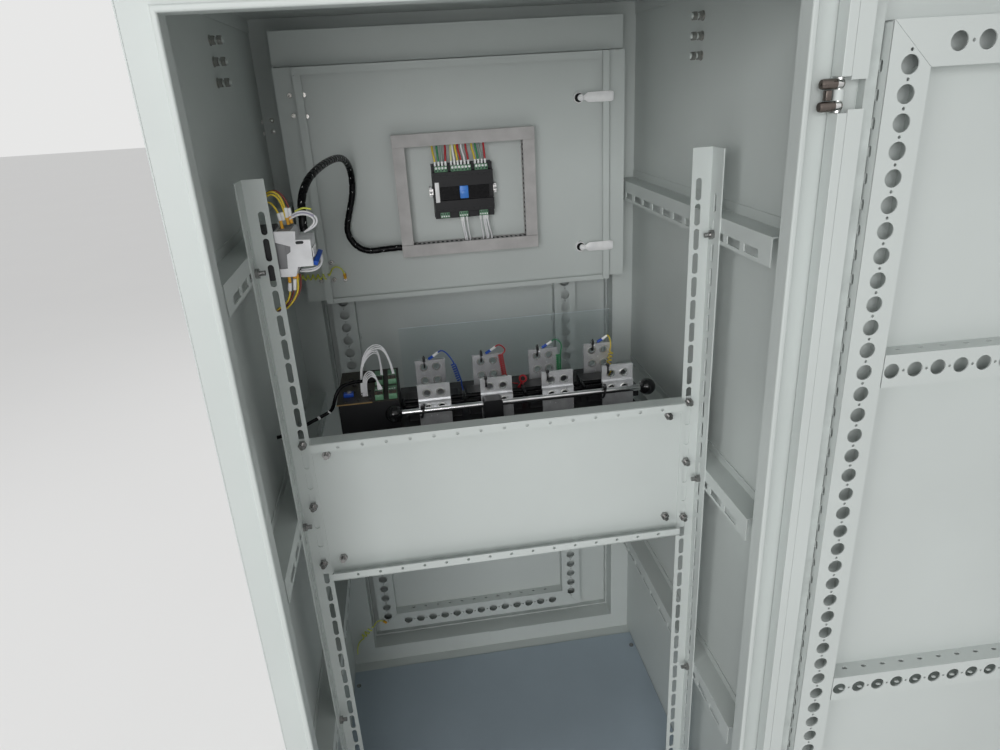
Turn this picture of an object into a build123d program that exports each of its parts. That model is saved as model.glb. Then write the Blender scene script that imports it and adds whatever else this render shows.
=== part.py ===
from build123d import *
import math
import os

# Floor-standing sheet-steel control cabinet, seen from the rear with its rear door open.
# Millimetres. X to the right, Y into the cabinet from the rear, Z up.
# Origin: centre of the four floor-bolt holes, on the floor.

# Cabinet shell
cabinet_width = 800.0
cabinet_depth = 800.0
cabinet_height = 1700.0
sheet = 2.0
roof_flange = 25.0
fit_gap = 0.3                   # between pieces that face each other but don't touch
sill_top = 96.5                 # both door openings
header_bottom = 1639.0
rear_opening_width = 711.4
rear_return_depth = 20.0
front_opening_left = 337.0      # from the middle plane to each side of the front opening
front_opening_right = 349.6
front_post_depth = 39.0
rim_width = 8.0                 # folded rim that the door gaskets press on
rim_height = 10.0
rim_bend = 3.0

# Base and floor
base_height = 48.0
base_top_flange = 68.0
base_bottom_flange = 45.0
floor_bolt_spacing = 750.0
floor_bolt_hole = 12.0
gland_plate_rear = -370.0
gland_plate_front = 328.0
gland_plate_side_gap = 1.0
floor_screw_inset = 12.0
floor_screw_margin = 52.0
sill_tab_width = 40.0
sill_tab_centre = 10.0

# Weld studs high on the side walls
stud_radius = 4.0
stud_length = 22.0
stud_depth_place = 5.0
stud_top = 1640.0
stud_pitch = 30.5
stud_count = 3

# Depth rails on the side walls
rail_face_inset = 40.0          # from the outside of the wall to the rail's inner face
rail_rear_end = -355.0
rail_front_end = 358.0
rail_below_slot = 12.0
rail_above_slot = 30.0
rail_wall_flange = 16.0
rail_slot_line = 1311.0
rail_pitch = 450.0
rail_slot_length = 43.0
rail_slot_width = 12.0
rail_slot_pitch = 57.0
rail_slot_count = 11
rail_first_slot = 58.0          # from the rail's rear end

# Slotted uprights
upright_back = -151.0           # rear face of the mounting plate lies here
upright_face_width = 34.0
upright_side_width = 43.0
upright_overhang = 134.0        # past the upper and lower slot lines
upright_slot_length = 35.0
upright_slot_width = 9.5
upright_slot_pitch = 40.0
upright_slot_count = 27
upright_slot_inset = 22.0       # from the outer face to the middle of the slots
upright_bolt_inset = 21.0       # from the plate to the bolts through the side flange

# Mounting plate between the uprights
plate_width = 700.0
plate_bottom = 744.0
plate_top = 1020.0
plate_pan_width = 648.0
plate_flange = 27.0
plate_top_lip = 16.0
plate_bottom_lip = 14.6
plate_bolt_heights = (1011.0, 890.0, 770.0)
switch_bolt_place = 302.0
switch_bolt_heights = (987.5, 776.0)

# Fasteners
bolt_radius = 4.0
bolt_head_across = 13.0
bolt_head_height = 5.3
bolt_nut_height = 6.5
bolt_thread_end = 8.0
screw_radius = 3.0
screw_head_radius = 6.0
screw_head_height = 2.4
screw_length = 14.0
small_sides = 12                # flats on shanks, studs and small holes

# Changeover switch behind the mounting plate
switch_base_width = 630.0
switch_base_bottom = 760.0
switch_base_top = 1003.0
switch_base_thickness = 3.0
switch_left = -176.0
switch_right = 292.0
switch_rear = 198.0
switch_bottom = 755.0
switch_top = 950.0
chamber_height = 20.0
chamber_width = 104.0
chamber_front = 22.0
chamber_depth = 104.0
pole_pitch = 120.5
first_pole = -108.0
pole_count = 4
lug_width = 62.0
lug_thickness = 5.0
lug_hole = 14.0
lug_hole_spacing = 26.0
near_lug_place = 0.0
near_lug_top = 1032.0
near_lug_step = 1001.0
near_lug_upper_row = 1015.0
near_lug_lower_row = 986.0
far_lug_place = 145.0
far_lug_top = 1027.0
far_lug_upper_row = 1012.0
far_lug_lower_row = 982.0
drive_left = -290.0
drive_near = 4.0
drive_depth = 165.0
drive_top = 1007.0
board_thickness = 1.6
board_overhang = 3.0
drive_plug_width = 15.0
drive_plug_places = (-212.0, -186.0)
drive_plug_low = 17.0
drive_plug_high = 27.0
drive_plug_step = 6.0
drive_plug_margin = 2.0
drive_plug_low_length = 24.0
drive_plug_gap = 26.0
drive_plug_high_length = 36.0
handle_height = 985.0
handle_place = -13.0
handle_left = -187.0
handle_right = 310.0
handle_radius = 6.0
knob_radius = 16.5
hub_left = -17.0
hub_right = 20.0
hub_near = -32.5
hub_far = -5.5
hub_top = 999.0
hub_round = 6.0
shield_left = -167.0
shield_right = 294.0
shield_bottom = 770.0
shield_top = 1085.0
shield_thickness = 2.0

# Power module on the left upper rail
module_rail_width = 35.0
module_rail_depth = 7.5
module_rail_flange = 4.0
module_rail_length = 86.0
module_rail_height = 1320.0
module_near = -144.0
module_width = 62.0
module_bottom = 1291.0
module_top = 1369.0
module_shoulder = -318.0
module_nose = -272.0
module_nose_bottom = 1308.0
module_nose_top = 1355.0
module_plug_height = 14.0
module_plug_length = 46.0
module_plug_depth = 12.0
module_plug_rise = 4.0
module_round = 2.0
module_recess_gap = 1.0

# Instrument frame and instrument door
instrument_plane = 297.0
instrument_half_width = 355.0
instrument_strip_left = 315.0   # inner edge of the left strip, from the middle plane
instrument_strip_right = 323.0
instrument_strip_bottom = 1134.0
instrument_header_bottom = 1627.0
instrument_header_top = 1672.0
instrument_foot = 13.0
instrument_door_left = -312.5
instrument_door_right = 320.5
instrument_door_bottom = 1128.0
instrument_door_top = 1602.0
instrument_door_flange = 14.0
instrument_hinge_heights = (1535.5, 1200.5)
instrument_hinge_length = 60.0
instrument_pin_x = -314.0
instrument_pin_radius = 2.0
instrument_knuckle = 3.6
instrument_leaf = 1.5
instrument_leaf_width = 28.0
instrument_latch_x = 255.0
instrument_latch_heights = (1518.0, 1206.0)
instrument_cam_tip = 327.0
instrument_spindle_end = 6.0
instrument_pin_standoff = 4.0
latch_notch_inner = 340.0
latch_notch_rear = 353.0
latch_notch_below = 13.0
latch_notch_above = 54.0

# Controller and wiring ducts on the instrument door
controller_left = -63.0
controller_right = 62.0
controller_bottom = 1296.0
controller_top = 1406.0
controller_depth = 40.0
controller_bezel = 8.0
controller_bezel_margin = 9.0
controller_cutout_gap = 0.5
controller_step_height = 14.0
controller_step_depth = 12.0
controller_channel_low = 38.0   # from its bottom edge
controller_channel_high = 66.0
controller_channel_depth = 7.0
plug_depth = 10.0
plug_height = 11.5
upper_plugs = ((-43.0, 20.0), (-2.0, 30.0), (40.0, 20.0))
lower_plugs = ((-34.0, 15.2), (3.0, 15.2), (41.0, 15.2))
clamp_reach = 9.0
clamp_depth = 6.0
clamp_height = 12.0
clamp_standoff = 12.0
clamp_screw_radius = 2.0
clamp_screw_length = 24.0
duct_left = -140.0
duct_right = 153.0
duct_bottom = 1222.0
duct_top = 1470.0
duct_width = 25.0
duct_depth = 40.0
duct_wall = 1.6
duct_cover_thickness = 3.0
duct_cover_rim = 6.0
duct_seam = 2.0

# Outer doors
door_gap = 3.0
door_depth = 24.0               # of the folded edge
door_lip = 12.0
pin_inset = 5.0                 # hinge axis from the cabinet's side
pin_standoff = 15.0             # hinge axis from the face of the posts
pin_radius = 3.0
pin_head_radius = 4.6
pin_head_height = 2.5
pin_clearance = 0.05
knuckle_radius = 6.5
arm_height = 10.0
knuckle_height = 12.4
hinge_gap = 0.8
post_leaf_width = 12.0
post_leaf_inset = 9.0
leaf_thickness = 3.0
door_leaf_height = 58.0
door_leaf_width = 22.0
hinge_notch = 3.0
door_leaf_inset = 3.0
rear_hinge_heights = (1519.0, 190.0)
front_hinge_heights = (1499.0, 212.0)
rear_door_rest_angle = 178.0
gasket_width = 14.0
gasket_inner = 352.0            # from the middle plane of the rear opening
frame_standoff = 30.0           # perforated face from the door's skin
frame_strip_width = 52.0
frame_column_spacing = 532.6
frame_low_line = 150.0
frame_high_line = 1570.0
frame_crossbar_lines = (591.0, 1162.0)
frame_crossbar_width = 48.0
frame_hole = 22.0
frame_hole_sides = 8
column_hole_pitch = 32.0
column_hole_count = 44
row_hole_pitch = 35.0
row_hole_count = 13
crossbar_hole_pitch = 33.4
crossbar_hole_count = 14
crossbar_first_hole = 39.7
rear_column_from_pin = 71.5
front_column_from_pin = 102.1

# Quarter-turn latches
latch_from_edge = 95.0
latch_heights = (1350.0, 650.0)
latch_head_radius = 14.0
latch_head_height = 4.0
latch_sleeve_radius = 10.0
latch_sleeve_length = 22.0
latch_spindle_radius = 5.0
latch_nut_thickness = 5.0
latch_nut_step = 1.0
cam_width = 18.0
cam_thickness = 3.0
cam_length = 60.0
cam_clearance = 1.0

# Wiring loom from the power module to the left duct
loom_diameter = 13.0
loom_bend_share = 0.45          # of the shorter run, for each arc
loom_route = [
    (-288.0, -95.0, 1355.3),
    (-288.0, -94.0, 1388.0),
    (-284.0, -78.0, 1412.0),
    (-276.0, -48.0, 1429.0),
    (-266.0, -2.0, 1438.0),
    (-256.0, 58.0, 1443.0),
    (-245.0, 124.0, 1444.0),
    (-236.0, 186.0, 1440.0),
    (-229.0, 232.0, 1426.0),
    (-226.0, 262.0, 1400.0),
    (-229.0, 271.0, 1361.0),
    (-243.0, 271.3, 1318.0),
    (-251.0, 271.0, 1290.0),
    (-246.0, 270.7, 1266.5),
    (-230.6, 270.3, 1248.0),
    (-208.3, 270.0, 1239.0),
    (-178.4, 270.0, 1242.0),
    (-140.3, 270.0, 1242.0),
]

# Places worked out from the sizes above
half_width = cabinet_width / 2
half_depth = cabinet_depth / 2
wall_inner = half_width - sheet
shell_top = cabinet_height - sheet
front_inner = half_depth - front_post_depth
rail_face = half_width - rail_face_inset
rear_pin = (half_width - pin_inset, -half_depth - pin_standoff)
skin_inner = pin_standoff + door_depth / 2 - sheet
floor_top = base_height + sheet
pole_places = [first_pole + pole_pitch * index for index in range(pole_count)]


def block(x0, x1, y0, y1, z0, z1):
    """Straight block between two corners."""
    return Pos(x0, y0, z0) * Box(x1 - x0, y1 - y0, z1 - z0, align=(Align.MIN,) * 3)


def upright_rod(x, y, z0, z1, radius):
    """Vertical round bar."""
    return Pos(x, y, z0) * Cylinder(radius, z1 - z0, align=(Align.CENTER, Align.CENTER, Align.MIN))


def shank(radius, length):
    """Many-sided bar from the origin along +Z, its corners on the radius."""
    return extrude(RegularPolygon(radius, small_sides), amount=length)


def small_hole(radius, depth):
    """Many-sided cutter about the origin along Z, its flats on the radius."""
    flats = RegularPolygon(radius, small_sides, major_radius=False)
    return extrude(flats, amount=depth / 2, both=True)


def depth_rod(x, z, y0, y1, radius):
    """Round bar along Y."""
    bar = Cylinder(radius, y1 - y0, align=(Align.CENTER, Align.CENTER, Align.MIN))
    return Pos(x, y0, z) * Rot(-90, 0, 0) * bar


def extrude_along_x(points, x0, x1):
    """Outline of (y, z) points, drawn out from x0 to x1."""
    outline = make_face(Polyline(*[(x0, y, z) for y, z in points], close=True))
    return extrude(outline, amount=x1 - x0, dir=(1, 0, 0))


def extrude_along_y(points, y0, y1):
    """Outline of (x, z) points, drawn out from y0 to y1."""
    outline = make_face(Polyline(*[(x, y0, z) for x, z in points], close=True))
    return extrude(outline, amount=y1 - y0, dir=(0, 1, 0))


def mirrored(shape):
    """The same piece on the other side of the middle plane."""
    return mirror(shape, about=Plane.YZ)


def turned_about(shape, centre, angle):
    """Shape swung about a vertical axis through centre."""
    x, y = centre
    return Pos(x, y, 0) * Rot(0, 0, angle) * Pos(-x, -y, 0) * shape


def mitred_frame(section, width, height):
    """Four bars of one section, mitred round a width by height rectangle in the XZ plane.
    The section's x is measured outwards from the rectangle, its y along +Y."""
    box = section.bounding_box()
    outward = max(box.max.X, 0) + 1
    inward = max(-box.min.X, 0) + 1
    reach = max(abs(box.min.Y), abs(box.max.Y)) + 1
    bars = []
    for quarter in range(4):
        length, distance = (width, height / 2) if quarter % 2 == 0 else (height, width / 2)
        start = Plane(origin=(-length / 2 - outward, 0, -distance), x_dir=(0, 0, -1), z_dir=(1, 0, 0))
        bar = extrude(start * section, amount=length + 2 * outward)
        wedge = extrude_along_y(
            [
                (-length / 2 - outward, -distance - outward),
                (length / 2 + outward, -distance - outward),
                (length / 2 - inward, -distance + inward),
                (-length / 2 + inward, -distance + inward),
            ],
            -reach,
            reach,
        )
        bars.append(Rot(0, 90 * quarter, 0) * (bar & wedge))
    return bars[0] + bars[1:]


def section_face(points, bends=()):
    """Closed outline of (outward, depth) points, with some corners rounded.
    Each bend is a corner's point and its radius."""
    face = make_face(Polyline(*points, close=True))
    for corner, radius in bends:
        vertex = face.vertices().sort_by_distance((corner[0], corner[1], 0))[0]
        face = fillet(vertex, radius)
    return face


def hex_bolt(grip, with_nut=True):
    """Bolt along +Z with its head's seat at the origin, and a nut at the end of its grip."""
    flats = RegularPolygon(bolt_head_across / 2, 6, major_radius=False)
    bolt = extrude(flats, amount=-bolt_head_height)
    length = grip + (bolt_nut_height + bolt_thread_end if with_nut else bolt_thread_end)
    bolt += shank(bolt_radius, length)
    if with_nut:
        bolt += Pos(0, 0, grip) * extrude(flats, amount=bolt_nut_height)
    return bolt


def pan_screw(length):
    """Screw along -Z with its head standing on the origin."""
    return shank(screw_head_radius, screw_head_height) + shank(screw_radius, -length)


# Cabinet shell

def side_panel():
    """Right side wall with its three weld studs."""
    wall = block(wall_inner, half_width, -half_depth, half_depth, 0, shell_top)
    for index in range(stud_count):
        place = Pos(wall_inner, stud_depth_place, stud_top - stud_pitch * index)
        wall += place * Rot(0, -90, 0) * shank(stud_radius, stud_length)
    return wall


def roof_panel():
    """Roof sheet with flanges turned down inside the rear and side walls."""
    roof = block(-half_width, half_width, -half_depth, half_depth, shell_top, cabinet_height)
    side = wall_inner - fit_gap
    rear = -half_depth + sheet + fit_gap
    flanges = block(-side, side, rear, front_inner - fit_gap, shell_top - roof_flange, shell_top)
    flanges -= block(-side + sheet, side - sheet, rear + sheet, front_inner, 0, shell_top)
    return roof + flanges


def opening_rim(width, height, return_depth):
    """Folded rim round a door opening, standing out towards -Y from the face at Y = 0."""
    section = section_face(
        [
            (rim_width, sheet),
            (rim_width, -rim_height),
            (0, -rim_height),
            (0, return_depth),
            (sheet, return_depth),
            (sheet, -rim_height + sheet),
            (rim_width - sheet, -rim_height + sheet),
            (rim_width - sheet, sheet),
        ],
        [((rim_width, -rim_height), rim_bend), ((0, -rim_height), rim_bend)],
    )
    return mitred_frame(section, width, height)


def face_ring(x0, x1, z0, z1, y0):
    """Sheet ring across the cabinet with a door opening in it."""
    ring = block(-wall_inner, wall_inner, y0, y0 + sheet, 0, shell_top)
    inset = rim_width - sheet
    return ring - block(x0 - inset, x1 + inset, y0 - 1, y0 + sheet + 1, z0 - inset, z1 + inset)


opening_middle = (sill_top + header_bottom) / 2
opening_height = header_bottom - sill_top


def rear_frame():
    """Rear posts, header and sill, welded into one frame."""
    half = rear_opening_width / 2
    ring = face_ring(-half, half, sill_top, header_bottom, -half_depth)
    rim = opening_rim(rear_opening_width, opening_height, rear_return_depth)
    return ring + Pos(0, -half_depth, opening_middle) * rim


def front_frame():
    """Front posts, header and sill of a deep channel, with the sill tab."""
    width = front_opening_left + front_opening_right
    middle = (front_opening_right - front_opening_left) / 2
    ring = face_ring(-front_opening_left, front_opening_right, sill_top, header_bottom, half_depth - sheet)
    rim = Rot(0, 0, 180) * opening_rim(width, opening_height, front_post_depth)
    frame = ring + Pos(middle, half_depth, opening_middle) * rim
    inner = block(-wall_inner, wall_inner, front_inner, front_inner + sheet, base_height, shell_top)
    inner -= block(
        -front_opening_left, front_opening_right, front_inner - 1, half_depth, sill_top, header_bottom
    )
    tab_left = sill_tab_centre - sill_tab_width / 2
    tab = block(tab_left, tab_left + sill_tab_width, front_inner - sheet, front_inner, floor_top, sill_top)
    return frame + inner + tab


def base_frame():
    """Folded base channel with four floor-bolt holes in its bottom flange."""
    section = section_face(
        [
            (0, 0),
            (0, base_height),
            (-base_top_flange, base_height),
            (-base_top_flange, base_height - sheet),
            (-sheet, base_height - sheet),
            (-sheet, sheet),
            (-base_bottom_flange, sheet),
            (-base_bottom_flange, 0),
        ]
    )
    size_x = 2 * wall_inner
    size_y = cabinet_depth - 2 * sheet
    base = Rot(90, 0, 0) * mitred_frame(section, size_x, size_y)
    hole = Cylinder(floor_bolt_hole / 2, 3 * sheet)
    spacing = floor_bolt_spacing
    anchors = [place * hole for place in GridLocations(spacing, spacing, 2, 2).locations]
    return base - anchors - floor_screw_holes()


def floor_screw_places():
    """Middles of the four screws of the gland plate."""
    x = wall_inner - gland_plate_side_gap - floor_screw_inset
    rear = gland_plate_rear + floor_screw_margin
    front = gland_plate_front - floor_screw_margin
    return [(side * x, y) for side in (-1, 1) for y in (rear, front)]


def floor_screw_holes():
    """Cutters for the screws through the gland plate and the base channel's top flange."""
    cutter = small_hole(screw_radius + fit_gap, 3 * sheet)
    return [Pos(x, y, base_height) * cutter for x, y in floor_screw_places()]


def gland_plate():
    """Floor plate that lies on the base channel."""
    side = wall_inner - gland_plate_side_gap
    plate = block(-side, side, gland_plate_rear, gland_plate_front, base_height, floor_top)
    return plate - floor_screw_holes()


# Rails, uprights and mounting plate

def depth_rail(slot_line):
    """Slotted Z-shaped rail on the right side wall."""
    low = slot_line - rail_below_slot
    high = slot_line + rail_above_slot
    rail = extrude_along_y(
        [
            (rail_face, low),
            (rail_face, high),
            (wall_inner - sheet, high),
            (wall_inner - sheet, high + rail_wall_flange),
            (wall_inner, high + rail_wall_flange),
            (wall_inner, high - sheet),
            (rail_face + sheet, high - sheet),
            (rail_face + sheet, low),
        ],
        rail_rear_end,
        rail_front_end,
    )
    slots = []
    for index in range(rail_slot_count):
        place = rail_rear_end + rail_first_slot + rail_slot_pitch * index
        slots.append(
            Pos(rail_face + sheet / 2, place, slot_line) * Box(3 * sheet, rail_slot_length, rail_slot_width)
        )
    return rail - slots


def slot_cutter(length, width, depth):
    """Upright slot with cut corners in the XZ plane."""
    cut = width * (1 - math.sqrt(0.5))
    outline = Rectangle(width, length)
    outline = chamfer(outline.vertices(), cut)
    return extrude(Plane.XZ * outline, amount=depth / 2, both=True)


slot_lines = [rail_slot_line - rail_pitch * index for index in range(3)]
upright_top = slot_lines[0] + upright_overhang
upright_bottom = slot_lines[-1] - upright_overhang


def slotted_upright():
    """Right upright: an angle with its slotted face to the rear."""
    inner = rail_face - upright_face_width
    rear = upright_back - upright_side_width
    face = block(inner, rail_face, upright_back - sheet, upright_back, upright_bottom, upright_top)
    side = block(rail_face - sheet, rail_face, rear, upright_back, upright_bottom, upright_top)
    cutter = slot_cutter(upright_slot_length, upright_slot_width, 3 * sheet)
    middle = (upright_top + upright_bottom) / 2
    slots = []
    for index in range(upright_slot_count):
        height = middle + upright_slot_pitch * (index - (upright_slot_count - 1) / 2)
        slots.append(Pos(rail_face - upright_slot_inset, upright_back - sheet / 2, height) * cutter)
    for slot_line in slot_lines:
        hole = small_hole(bolt_radius + fit_gap, 3 * sheet)
        slots.append(Pos(rail_face, upright_back - upright_bolt_inset, slot_line) * Rot(0, 90, 0) * hole)
    return face + side - slots


def mounting_plate():
    """Folded plate that carries the changeover switch, with flat wings behind the uprights."""
    rear = upright_back - plate_flange + sheet
    panel = block(
        -plate_width / 2, plate_width / 2, upright_back, upright_back + sheet, plate_bottom, plate_top
    )
    section = [
        (upright_back, plate_top),
        (upright_back, plate_top - sheet),
        (rear + sheet, plate_top - sheet),
        (rear + sheet, plate_top - plate_top_lip),
        (rear, plate_top - plate_top_lip),
        (rear, plate_top),
    ]
    upper = extrude_along_x(section, -plate_pan_width / 2, plate_pan_width / 2)
    section = [
        (upright_back, plate_bottom),
        (upright_back, plate_bottom + sheet),
        (rear + sheet, plate_bottom + sheet),
        (rear + sheet, plate_bottom + plate_bottom_lip),
        (rear, plate_bottom + plate_bottom_lip),
        (rear, plate_bottom),
    ]
    lower = extrude_along_x(section, -plate_pan_width / 2, plate_pan_width / 2)
    holes = []
    for side in (-1, 1):
        for height in plate_bolt_heights:
            holes.append((side * (rail_face - upright_slot_inset), height))
        for height in switch_bolt_heights:
            holes.append((side * switch_bolt_place, height))
    cutter = Rot(90, 0, 0) * small_hole(bolt_radius + fit_gap, 3 * sheet)
    return panel + upper + lower - [Pos(x, upright_back + sheet / 2, z) * cutter for x, z in holes]


def cabinet_fasteners():
    """Bolts of the uprights, plate and switch, and the screws of the floor and the module rail."""
    solids = []
    across = hex_bolt(2 * sheet)
    for side in (-1, 1):
        for slot_line in slot_lines:
            turn = Rot(0, -90 * side, 0)
            place = Pos(side * (rail_face + sheet), upright_back - upright_bolt_inset, slot_line)
            solids.append(place * turn * across)
        for height in plate_bolt_heights:
            place = Pos(side * (rail_face - upright_slot_inset), upright_back + sheet, height)
            solids.append(place * Rot(90, 0, 0) * across)
        for height in switch_bolt_heights:
            bolt = hex_bolt(sheet + fit_gap + switch_base_thickness)
            place = Pos(side * switch_bolt_place, switch_plate_front, height)
            solids.append(place * Rot(90, 0, 0) * bolt)
    for x, y in floor_screw_places():
        solids.append(Pos(x, y, floor_top) * pan_screw(screw_length))
    return solids


switch_plate_front = upright_back + sheet + fit_gap + switch_base_thickness


# Changeover switch

def switch_base():
    """Steel base plate of the switch, bolted behind the mounting plate."""
    rear = switch_plate_front - switch_base_thickness
    half = switch_base_width / 2
    plate = block(-half, half, rear, switch_plate_front, switch_base_bottom, switch_base_top)
    cutter = Rot(90, 0, 0) * small_hole(bolt_radius + fit_gap, 3 * switch_base_thickness)
    for side in (-1, 1):
        for height in switch_bolt_heights:
            plate -= Pos(side * switch_bolt_place, switch_plate_front, height) * cutter
    return plate


def switch_body():
    """Moulded switch body with one raised arc chamber for each pole."""
    body = block(switch_left, switch_right, switch_plate_front, switch_rear, switch_bottom, switch_top)
    for pole in pole_places:
        chamber = block(
            pole - chamber_width / 2,
            pole + chamber_width / 2,
            chamber_front,
            chamber_front + chamber_depth,
            switch_top,
            switch_top + chamber_height,
        )
        edges = chamber.edges().filter_by(Axis.X).group_by(Axis.Z)[-1]
        body += fillet(edges, chamber_height / 3)
    return body


def lug_holes(pole, rows):
    """Octagonal cutters for the two rows of holes in a lug."""
    cutter = extrude(Plane.XZ * RegularPolygon(lug_hole / 2, 8), amount=8 * lug_thickness, both=True)
    holes = []
    for x, height in ((x, z) for z in rows for x in (-lug_hole_spacing / 2, lug_hole_spacing / 2)):
        holes.append(Pos(pole + x, near_lug_place, height) * cutter)
    return holes


def near_terminals():
    """Stepped terminal lugs on the near side of each pole."""
    step = lug_thickness
    section = [
        (near_lug_place - step, switch_top),
        (near_lug_place - step, near_lug_step),
        (near_lug_place, near_lug_step),
        (near_lug_place, near_lug_top),
        (near_lug_place + lug_thickness, near_lug_top),
        (near_lug_place + lug_thickness, near_lug_step - lug_thickness),
        (near_lug_place, near_lug_step - lug_thickness),
        (near_lug_place, switch_top),
    ]
    lugs = []
    for pole in pole_places:
        lug = extrude_along_x(section, pole - lug_width / 2, pole + lug_width / 2)
        lugs.append(lug - lug_holes(pole, (near_lug_upper_row, near_lug_lower_row)))
    return lugs


def far_terminals():
    """Flat terminal lugs on the far side of each pole."""
    lugs = []
    rows = (far_lug_upper_row, far_lug_lower_row)
    for pole in pole_places:
        lug = block(
            pole - lug_width / 2,
            pole + lug_width / 2,
            far_lug_place,
            far_lug_place + lug_thickness,
            switch_top,
            far_lug_top,
        )
        cutters = [Pos(0, far_lug_place, 0) * hole for hole in lug_holes(pole, rows)]
        lugs.append(lug - cutters)
    return lugs


def switch_drive():
    """Closed drive housing beside the poles."""
    return block(drive_left, switch_left, drive_near, drive_near + drive_depth, switch_bottom, drive_top)


def drive_board():
    """Circuit board on the drive housing, with two rows of soldered terminal sockets."""
    base = drive_top + board_thickness
    board = block(
        drive_left - board_overhang,
        switch_left,
        drive_near - board_overhang,
        drive_near + drive_depth,
        drive_top,
        base,
    )
    low = base + drive_plug_low
    step = low - drive_plug_step
    high = base + drive_plug_high
    near = drive_near + drive_plug_margin
    far = near + drive_plug_low_length + drive_plug_gap + drive_plug_high_length
    section = [
        (near, base),
        (near, low),
        (near + drive_plug_low_length, low),
        (near + drive_plug_low_length + drive_plug_step, step),
        (far - drive_plug_high_length, step),
        (far - drive_plug_high_length, high),
        (far, high),
        (far, base),
    ]
    for x in drive_plug_places:
        board += extrude_along_x(section, x - drive_plug_width / 2, x + drive_plug_width / 2)
    return board


def handle_hub():
    """Socket block of the operating bar, standing on the switch body."""
    hub = block(hub_left, hub_right, hub_near, hub_far, switch_top, hub_top)
    hub = fillet(hub.edges().filter_by(Axis.Y).group_by(Axis.Z)[-1], hub_round)
    bore = Cylinder(handle_radius + fit_gap, 3 * (hub_right - hub_left))
    return hub - Pos(0, handle_place, handle_height) * Rot(0, 90, 0) * bore


def handle_rod():
    """Operating bar, round steel."""
    length = handle_right - handle_left - knob_radius
    bar = Cylinder(handle_radius, length)
    return Pos((handle_left + handle_right) / 2, handle_place, handle_height) * Rot(0, 90, 0) * bar


def ball_knob():
    """Ball about the origin, with a blind bore that opens towards -X."""
    outline = Circle(knob_radius) & Pos(0, knob_radius) * Rectangle(4 * knob_radius, 2 * knob_radius)
    outline -= Pos(-1.5 * knob_radius, 0) * Rectangle(2 * knob_radius, 2 * (handle_radius + fit_gap))
    return revolve(outline, Axis.X)


def handle_knobs():
    """Ball at each end of the operating bar."""
    ends = ((handle_left, 180), (handle_right, 0))
    return [Pos(x, handle_place, handle_height) * Rot(0, 0, turn) * ball_knob() for x, turn in ends]


def clear_shield():
    """Clear sheet behind the far terminals."""
    return block(
        shield_left, shield_right, switch_rear, switch_rear + shield_thickness, shield_bottom, shield_top
    )


# Power module

def module_rail():
    """Short hat rail on the inner face of the left upper depth rail."""
    back = -rail_face
    half = module_rail_width / 2
    inner = half - module_rail_flange
    skin = sheet / 2
    top = back + module_rail_depth
    outline = [
        (back, half),
        (back + skin, half),
        (back + skin, inner),
        (top, inner),
        (top, -inner),
        (back + skin, -inner),
        (back + skin, -half),
        (back, -half),
        (back, -inner + skin),
        (top - skin, -inner + skin),
        (top - skin, inner - skin),
        (back, inner - skin),
    ]
    points = [(x, module_rail_height + z) for x, z in outline]
    start = upright_back + sheet
    return extrude_along_y(points, start, start + module_rail_length)


def power_module():
    """Rail-mounted module: two shoulders and a nose, hooked over the hat rail."""
    back = -rail_face + sheet / 2 + fit_gap
    recess = -rail_face + module_rail_depth + fit_gap
    half = module_rail_width / 2 + module_recess_gap
    outline = [
        (back, module_bottom),
        (module_shoulder, module_bottom),
        (module_shoulder, module_nose_bottom),
        (module_nose, module_nose_bottom),
        (module_nose, module_nose_top),
        (module_shoulder, module_nose_top),
        (module_shoulder, module_top),
        (back, module_top),
        (back, module_rail_height + half),
        (recess, module_rail_height + half),
        (recess, module_rail_height - half),
        (back, module_rail_height - half),
    ]
    body = extrude_along_y(outline, module_near, module_near + module_width)
    edges = body.edges().filter_by(Axis.Y).group_by(Axis.X)[-1]
    return fillet(edges, module_round)


def module_plug():
    """Plug on the nose of the module."""
    return block(
        module_nose,
        module_nose + module_plug_depth,
        module_near + module_width - module_plug_length,
        module_near + module_width,
        module_nose_bottom + module_plug_rise,
        module_nose_bottom + module_plug_rise + module_plug_height,
    )


# Instrument frame and door

def instrument_strip(inner_edge):
    """Right-hand strip of the instrument frame: a face, a web and a foot on the front posts."""
    face = instrument_plane
    outer = instrument_half_width
    outline = [
        (inner_edge, face),
        (inner_edge, face + sheet),
        (outer - sheet, face + sheet),
        (outer - sheet, front_inner - sheet),
        (outer - instrument_foot, front_inner - sheet),
        (outer - instrument_foot, front_inner),
        (outer, front_inner),
        (outer, face),
    ]
    profile = make_face(Polyline(*[(x, y, instrument_strip_bottom) for x, y in outline], close=True))
    return extrude(profile, amount=instrument_header_top - instrument_strip_bottom, dir=(0, 0, 1))


def instrument_frame():
    """Header and two strips round the instrument door, welded to each other.
    The right strip is notched where the front door's upper latch cam swings."""
    face = instrument_plane
    header = extrude_along_x(
        [
            (face, instrument_header_bottom),
            (face, instrument_header_top),
            (front_inner, instrument_header_top),
            (front_inner, instrument_header_top - instrument_foot),
            (front_inner - sheet, instrument_header_top - instrument_foot),
            (front_inner - sheet, instrument_header_top - sheet),
            (face + sheet, instrument_header_top - sheet),
            (face + sheet, instrument_header_bottom),
        ],
        -instrument_half_width,
        instrument_half_width,
    )
    right = instrument_strip(instrument_strip_right)
    right -= block(
        latch_notch_inner,
        instrument_half_width + 1,
        latch_notch_rear,
        front_inner + 1,
        latch_heights[0] - latch_notch_below,
        latch_heights[0] + latch_notch_above,
    )
    left = mirrored(instrument_strip(instrument_strip_left))
    return header + right + left


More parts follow.
